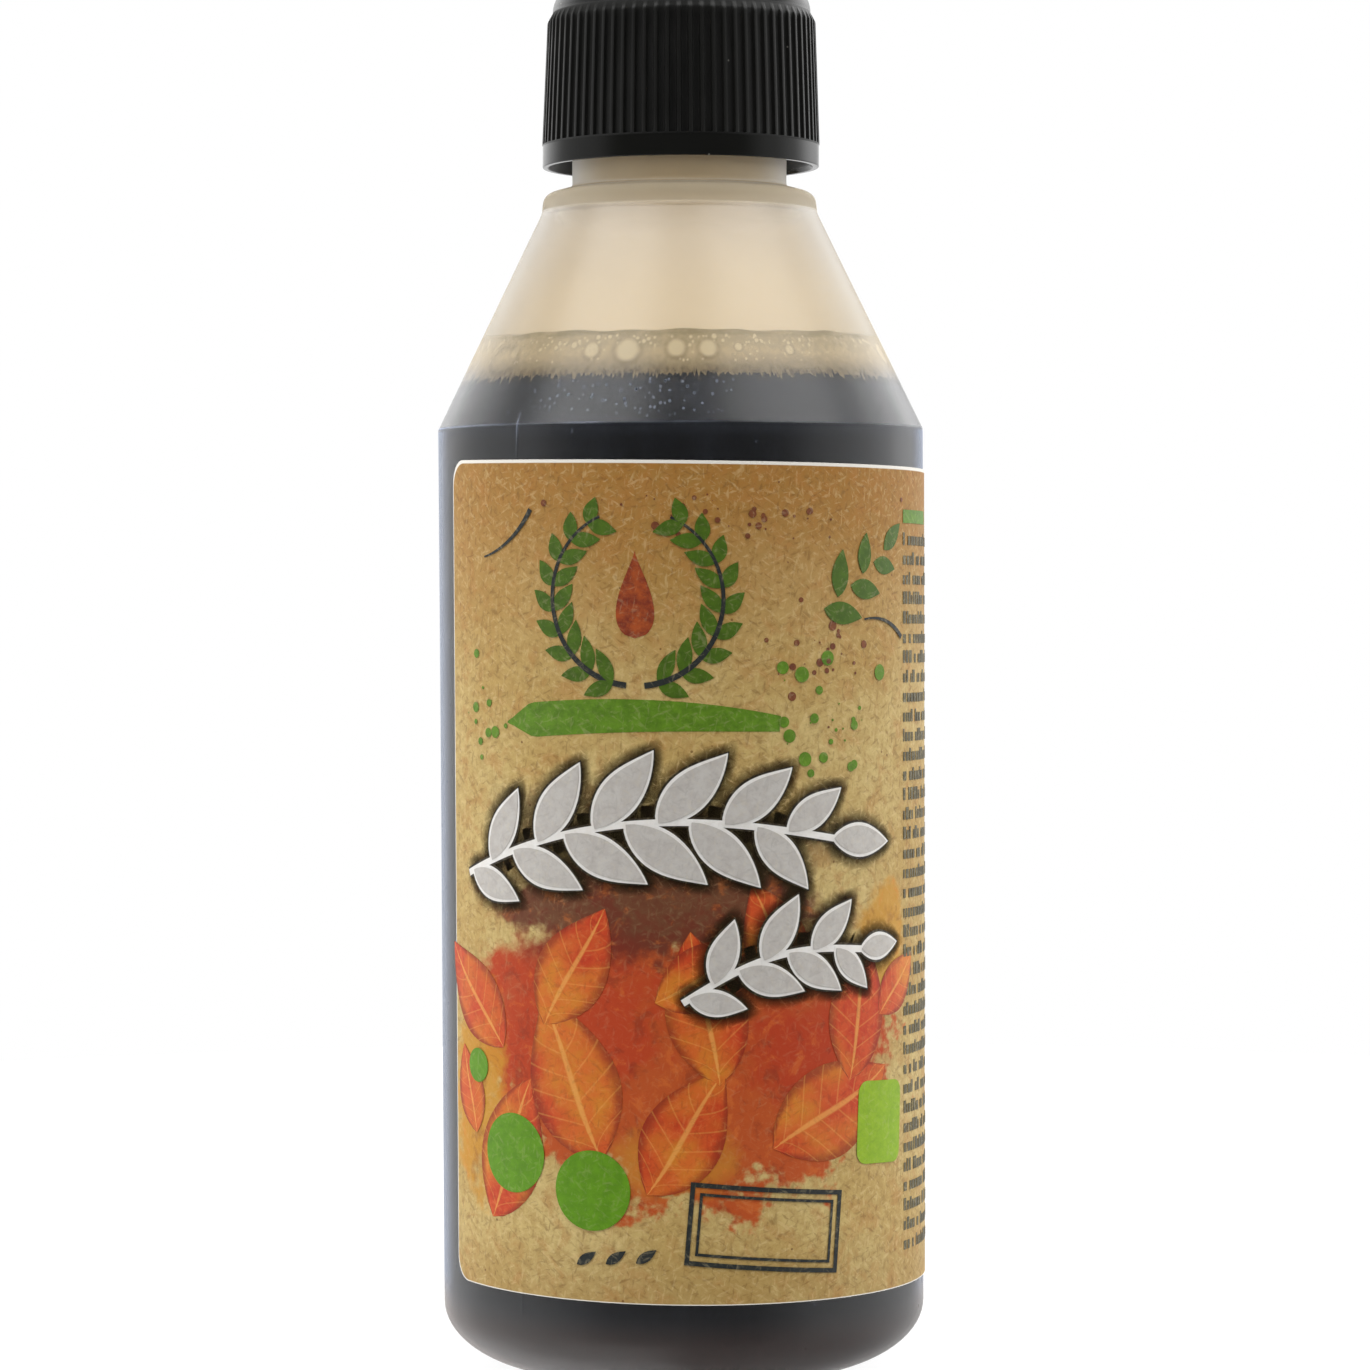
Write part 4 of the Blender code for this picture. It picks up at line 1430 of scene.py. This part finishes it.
def ink_sheet(name, ribbons, layer, ink):
    """Print ribbons given in mm as one closed sheet, each a hair above the last, with two UV maps:
    label_mm for the place on the label, and ribbon for (t, s) along and across each ribbon."""
    foot = LABEL_LIFT + LABEL_SHEET + layer * 2.0 * INK_SHEET
    mesh = sheet(name, [(flat[..., 0] * MM, flat[..., 1] * MM, foot + (index % INK_LIFTS) * INK_STEP,
                         INK_SHEET) for index, (flat, _) in enumerate(ribbons)])
    for label, grids in zip(("label_mm", "ribbon"), zip(*ribbons)):
        add_flat_map(mesh, label, grids)
    add_piece(mesh, ink)


inks = {name: printed_ink(name, *tones) for name, tones in INKS.items()}
print(len(inks), "printed inks")

# %% [markdown]
# ### Autumn leaves
# Over the wash lie painted leaves, pointed ovals from red to ochre. Each has a midrib, side veins
# and a darker edge, all worked out from how far along and across the leaf a point lies. That
# (t, s) map makes one shader fit every leaf, whatever its size and direction.

# %% Paint the autumn leaves
# Foot across and up, length, width, turn in degrees, bend
AUTUMN_LEAVES = (
    (-24.0, 8.0, 17.0, 9.5, 62.0, 0.12), (-9.0, 15.5, 19.0, 11.0, 118.0, -0.10),
    (-4.0, 12.0, 16.0, 9.0, 52.0, 0.10), (10.0, 17.0, 18.0, 10.5, 34.0, -0.12),
    (4.0, 24.0, 17.0, 9.0, 96.0, 0.08), (-22.0, 27.0, 15.0, 8.0, 128.0, 0.1),
    (20.0, 24.0, 16.0, 8.5, 74.0, 0.10), (-16.0, 30.0, 15.0, 8.5, 66.0, -0.1),
    (-3.0, 33.0, 13.0, 7.0, 22.0, 0.12), (13.0, 34.0, 13.0, 7.5, 120.0, -0.1),
    (-27.0, 17.0, 10.0, 5.5, 100.0, 0.1), (25.0, 31.0, 10.0, 5.5, 46.0, -0.1),
)
VEIN_PAIRS, VEIN_SLANT = 7.0, 0.16


def autumn_ink():
    """Colour that shifts from red to ochre over the label, with veins and a darker, runny edge."""
    tree = Finish("autumn_ink")
    flat, way = tree.flat_map("label_mm"), tree.split(tree.flat_map("ribbon"))
    light, dark, _ = grain_of(tree, flat)
    aside = tree.math("ABSOLUTE", way["Y"])
    runny = tree.noise(flat, 0.5, 4.0, 0.6)
    along = tree.times(tree.add(way["X"], aside, -VEIN_SLANT), VEIN_PAIRS)
    vein = tree.math("ABSOLUTE", tree.less(tree.math("FRACT", along), 0.5))
    vein = tree.math("MAXIMUM", tree.ramp(vein, 0.07, 0.0, 0.0, 0.5), tree.ramp(aside, 0.09, 0.03))
    colour = tree.coats(
        tree.mix(tree.ramp(tree.noise(flat, 0.11, 2.0), 0.38, 0.62), rgb(190, 58, 26), rgb(206, 124, 38)),
        (tree.ramp(runny, 0.35, 0.65, 0.0, 0.55), (212, 92, 40)),
        (tree.ramp(tree.add(aside, runny, 0.35), 0.85, 1.15, 0.0, 0.7), (128, 40, 22)),
        (tree.times(vein, 0.6), (232, 168, 84)),
        (tree.times(light, 0.12), (236, 178, 108)),
        (tree.times(dark, 0.22), (92, 34, 20)))
    return tree.done({"Base Color": colour, "Roughness": 0.5, "Specular IOR Level": 0.25})


ink_sheet("autumn_leaves", [leaf(*shape, steps=18, across=8) for shape in AUTUMN_LEAVES], 1, autumn_ink())

# %% [markdown]
# ### White sprays
# Two sprays of white leaves cross the middle. Their leaves are pale grey inside a white edge,
# with a thin dark line round them and a soft dark shade on the paper behind. Each of those is
# the same leaf again, grown by a little more.

# %% Print the white sprays
# Foot of the spray across and up, its length, turn, rise of its arch, number of leaves, leaf
# length and width
SPRAYS = (
    (-28.0, 46.0, 46.0, 6.0, 4.0, 12, 10.5, 3.9),
    (0.0, 33.0, 22.5, 14.0, 2.4, 7, 7.8, 3.0),
)
SHADE_GROW, LINE_GROW, WHITE_GROW = 2.3, 0.62, 0.36
LINE_STEM, WHITE_STEM = 0.62, 0.38
STEM_STEPS = 40


def spray_leaves(x, y, length, turn, rise, count, leaf_length, leaf_width):
    """Stem x + length t, y + rise sin(pi t), turned, and leaves from it to both sides in turn."""
    t = np.linspace(0.0, 1.0, STEM_STEPS)
    stem = about((x, y), turn, np.stack([length * t, rise * np.sin(math.pi * t)], axis=1))
    leaves = []
    for index in range(count):
        place = (index + 0.3) / count * 0.93
        side = 1.0 if index % 2 else -1.0
        foot = [np.interp(place, t, stem[:, k]) for k in (0, 1)]
        size = 1.0 - 0.35 * abs(2.0 * place - 0.9) ** 2
        slope = math.degrees(math.atan2(rise * math.pi * math.cos(math.pi * place), length)) + turn
        leaves.append((*foot, leaf_length * size, leaf_width * size, slope + 48.0 * side, -0.10 * side))
    leaves.append((*stem[-1], 0.8 * leaf_length, 0.8 * leaf_width, turn - 10.0, 0.0))
    return stem, leaves


def shade_ink():
    """Soft shade: dark olive whose cover falls from the middle of each leaf to its edge."""
    tree = Finish("shade_ink")
    way = tree.split(tree.flat_map("ribbon"))
    light, _, clouds = grain_of(tree, tree.flat_map("label_mm"))
    cover = tree.times(
        tree.ramp(tree.math("ABSOLUTE", way["Y"]), 1.0, 0.3, 0.0, 0.55),
        tree.times(tree.ramp(way["X"], 0.0, 0.22), tree.ramp(way["X"], 1.0, 0.78)))
    return tree.done({
        "Base Color": tree.mix(clouds, rgb(62, 54, 30), rgb(46, 34, 22)),
        "Roughness": 0.6, "Specular IOR Level": 0.1,
        "Alpha": tree.math("MULTIPLY_ADD", light, -0.1, cover, clamp=True)})


sprays = [spray_leaves(*shape) for shape in SPRAYS]


def grown_spray(grow, steps=18, across=4):
    """Every leaf of the sprays, widened all round."""
    return [leaf(*shape, steps=steps, across=across, grow=grow) for _, leaves in sprays for shape in leaves]


def spray_stems(half_width):
    """The stems of the sprays."""
    return [ribbon(stem, half_width) for stem, _ in sprays]


ink_sheet("spray_shade", grown_spray(SHADE_GROW, 16, 6), 2, shade_ink())
ink_sheet("spray_outline", grown_spray(LINE_GROW) + spray_stems(LINE_STEM), 4, inks["outline_ink"])
ink_sheet("spray_edge", grown_spray(WHITE_GROW) + spray_stems(WHITE_STEM), 6, inks["white_ink"])
ink_sheet("spray_inside", grown_spray(0.0), 8, inks["grey_ink"])

# %% [markdown]
# ### Green and dark motifs
# At the top stands a wreath of small green leaves round an amber drop, over one plain brushed
# green stroke. Lower down come plain green discs, a light green tag and an empty dark frame.
# Small round splashes sit between them. The side of the label carries rows of short ticks.

# %% Print the green motifs
WREATH_X, WREATH_Y, WREATH_RADIUS = -5.0, 77.0, 9.6
# Pairs of leaves on each side, the first one's angle from the ring's foot, and from pair to pair
WREATH_PAIRS, PAIR_START, PAIR_STEP = 9, 15.0, 16.4
# Lean from the stem in degrees and length of the two leaves of a pair, and their width
WREATH_LEAVES, WREATH_LEAF_WIDTH = ((42.0, 4.1), (-44.0, 3.6)), 1.7
ARC_STEPS = 40
SPRIG_LEAVES = 5
# Each disc: its middle across and up, and its radius
DISCS = ((-20.5, 15.5, 4.4), (-10.2, 12.2, 4.4), (-26.6, 24.6, 1.9))
# The tag's middle, half width, half height, lean and the radius of its corners
TAG_X, TAG_Y, TAG_HALF_WIDTH, TAG_HALF_HEIGHT, TAG_LEAN, TAG_CORNER = 25.2, 19.0, 4.0, 4.6, 0.05, 1.4


def round_arc(x, y, radius, start, end, steps=ARC_STEPS):
    """Points (x + radius sin a, y - radius cos a) for a from start to end in degrees."""
    a = np.radians(np.linspace(start, end, steps))
    return np.stack([x + radius * np.sin(a), y - radius * np.cos(a)], axis=1)


def wreath():
    """Leaves in pairs up both sides of a ring that is open at its top, and its two stems."""
    ring = (WREATH_X, WREATH_Y, WREATH_RADIUS)
    leaves, stems = [], []
    for side in (1.0, -1.0):
        stems.append(ribbon(round_arc(*ring, 6.0 * side, 156.0 * side), np.linspace(0.34, 0.14, ARC_STEPS)))
        for index in range(WREATH_PAIRS):
            angle = (PAIR_START + PAIR_STEP * index) * side
            foot = round_arc(*ring, angle, angle, 1)[0]
            onwards = angle if side > 0 else angle + 180.0
            leaves += [leaf(*foot, length * (1.0 - 0.02 * index), WREATH_LEAF_WIDTH,
                            onwards + lean * side, 0.1 * side, steps=10) for lean, length in WREATH_LEAVES]
    return leaves, stems


def brushed_stroke():
    """One wavy stroke that starts round and thins out to its right end."""
    t = np.linspace(0.0, 1.0, STEM_STEPS)
    path = np.stack([np.linspace(-21.0, 11.0, STEM_STEPS),
                     62.6 + 1.6 * np.sin(np.linspace(0.3, 2.6, STEM_STEPS))], axis=1)
    return ribbon(path, 1.9 * np.clip(9.0 * t, 0.05, 1.0) * (1.0 - 0.55 * t ** 3), 4)


def sprig():
    """Leaves to both sides in turn, smaller and smaller, and one at the tip."""
    leaves = [leaf(16.5 + 1.9 * k, 76.0 + 1.3 * k, 5.6 - 0.35 * k, 2.5 - 0.12 * k,
                   30.0 + 46.0 * (1 if k % 2 else -1), 0.1, steps=12) for k in range(SPRIG_LEAVES)]
    return leaves + [leaf(26.0, 82.6, 4.6, 2.1, 40.0, steps=12)]


def light_tag():
    """Tag with round corners: its half-width is less at both ends by the corners' circle."""
    from_end = TAG_CORNER * (1.0 - np.cos(np.linspace(0.0, math.pi / 2, 10)))
    run = np.concatenate([from_end - TAG_HALF_HEIGHT, (TAG_HALF_HEIGHT - from_end)[::-1]])
    over = np.clip(np.abs(run) - (TAG_HALF_HEIGHT - TAG_CORNER), 0.0, TAG_CORNER)
    half = TAG_HALF_WIDTH - TAG_CORNER + np.sqrt(TAG_CORNER ** 2 - over ** 2)
    return ribbon(np.stack([TAG_X + TAG_LEAN * run, TAG_Y + run], axis=1), half, 6)


wreath_leaves, wreath_stems = wreath()
dice = np.random.default_rng(41)
dots = (scattered(dice, (17.0, 63.5), (4.2, 3.6), (0.18, 0.95), 26, 14)
        + scattered(dice, (-24.0, 66.0), (2.2, 3.4), (0.18, 0.8), 12, 14))
ink_sheet("brushed_stroke", [brushed_stroke()], 1, inks["green_ink"])
ink_sheet("wreath_leaves", wreath_leaves + sprig(), 2, inks["deep_green_ink"])
ink_sheet("splashes", dots, 2, inks["green_ink"])

dice = np.random.default_rng(52)
brown_dots = (scattered(dice, (6.0, 86.0), (8.5, 2.2), (0.12, 0.62), 44, 12, ceiling=90.0)
              + scattered(dice, (16.0, 71.0), (3.0, 3.0), (0.12, 0.7), 30, 12))
ink_sheet("brown_specks", brown_dots, 1, inks["brown_ink"])
ink_sheet("green_discs", [disc(*place, 40, 12) for place in DISCS], 3, inks["bright_green_ink"])
ink_sheet("light_tag", [light_tag()], 3, inks["light_green_ink"])

# %% Print the drop, the stems and the frame
# Middle and turn of the empty frame, and width, height and half-width of its two lines
FRAME_X, FRAME_Y, FRAME_TURN = 9.4, 8.2, -5.0
FRAME_LINES = ((17.5, 8.6, 0.26), (15.5, 6.6, 0.16))
# The drop's point above the wreath's middle, its length, and its half-width before the formula
DROP_TOP, DROP_LENGTH, DROP_WIDTH = 5.0, 9.4, 5.2
DROP_STEPS = 26


def amber_drop():
    """Drop with its point up: half-width 1.16 width t^1.25 sqrt(1 - t) from point to foot."""
    t = np.linspace(0.0, 1.0, DROP_STEPS)
    path = np.stack([np.full(DROP_STEPS, WREATH_X), WREATH_Y + DROP_TOP - DROP_LENGTH * t], axis=1)
    half = DROP_WIDTH * np.sqrt(np.clip(1.0 - t, 0.0, 1.0)) * t ** 1.25 * 1.16
    return ribbon(path, np.maximum(half, 0.03), 8)


ink_sheet("amber_drop", [amber_drop()], 1, inks["amber_ink"])
marks = list(wreath_stems)
for width, height, half in FRAME_LINES:
    marks += frame_lines(FRAME_X, FRAME_Y, width, height, FRAME_TURN, half)
marks += [ribbon(round_arc(-27.0, 92.0, 11.0, 12.0, 60.0), np.linspace(0.1, 0.28, ARC_STEPS)),
          ribbon(round_arc(24.0, 66.0, 9.0, 140.0, 190.0), np.linspace(0.28, 0.1, ARC_STEPS))]
marks += [leaf(-12.0 + 3.4 * k, 4.0 + 0.25 * k, 2.7, 1.1, 34.0, steps=8) for k in range(3)]
ink_sheet("dark_marks", marks, 3, inks["dark_ink"])

# %% Print the side of the label
PANEL_START = 30.4
MOST_TICKS = 80
# Rows of ticks: from and to across, from and to up, from row to row, height, and seed
LEFT_ROWS = ((PANEL_START, 60.0, 4.0, 84.0, 2.2, 1.4, 5), (66.0, 86.0, 47.0, 84.0, 2.6, 1.2, 6),
             (94.0, 117.0, 8.0, 40.0, 2.6, 1.2, 8))
TABLE_ROWS = (67.0, 84.0, 8.6, 39.0, 4.2, 1.2, 9)
TABLE = (76.0, 24.0, 22.0, 34.0, 0.0, 0.18)
EMPTY_FRAME = (105.5, 64.0, 20.0, 26.0, 0.0, 0.18)


def tick_rows(left, right, low, high, pitch, height, seed):
    """Rows of short upright ticks in groups, with seeded widths and gaps."""
    dice = np.random.default_rng(seed)
    marks = []
    for level in np.arange(low, high, pitch):
        end = right - dice.uniform(0.0, 0.3) * (right - left)
        widths = dice.uniform(0.35, 0.9, MOST_TICKS)
        gaps = dice.choice([0.2, 0.22, 0.26, 0.3, 0.9], MOST_TICKS)
        starts = left + np.concatenate([[0.0], np.cumsum(widths + gaps)[:-1]])
        tops = level + height * dice.choice([0.72, 0.72, 1.0], MOST_TICKS)
        marks += [line((x + 0.5 * w, level), (x + 0.5 * w, top), 0.5 * w)
                  for x, w, top in zip(starts, widths, tops) if x + w < end]
    return marks


side_ticks = [tick for rows in LEFT_ROWS for tick in tick_rows(*rows)] + frame_lines(*TABLE)
side_ticks += [line((65.0, y), (87.0, y), 0.1) for y in np.arange(11.5, 40.0, 4.2)]
side_ticks += tick_rows(*TABLE_ROWS) + frame_lines(*EMPTY_FRAME)
ink_sheet("side_ticks", side_ticks, 1, inks["tick_ink"])
side_green = [line((PANEL_START, 86.4), (PANEL_START + 9.0, 86.4), 0.75)]
side_green += [disc(105.5, 64.0, 7.0, 40, 12), disc(76.0, 88.0, 1.4, 20, 6), disc(81.0, 88.0, 1.4, 20, 6)]
ink_sheet("side_green", side_green, 2, inks["green_ink"])
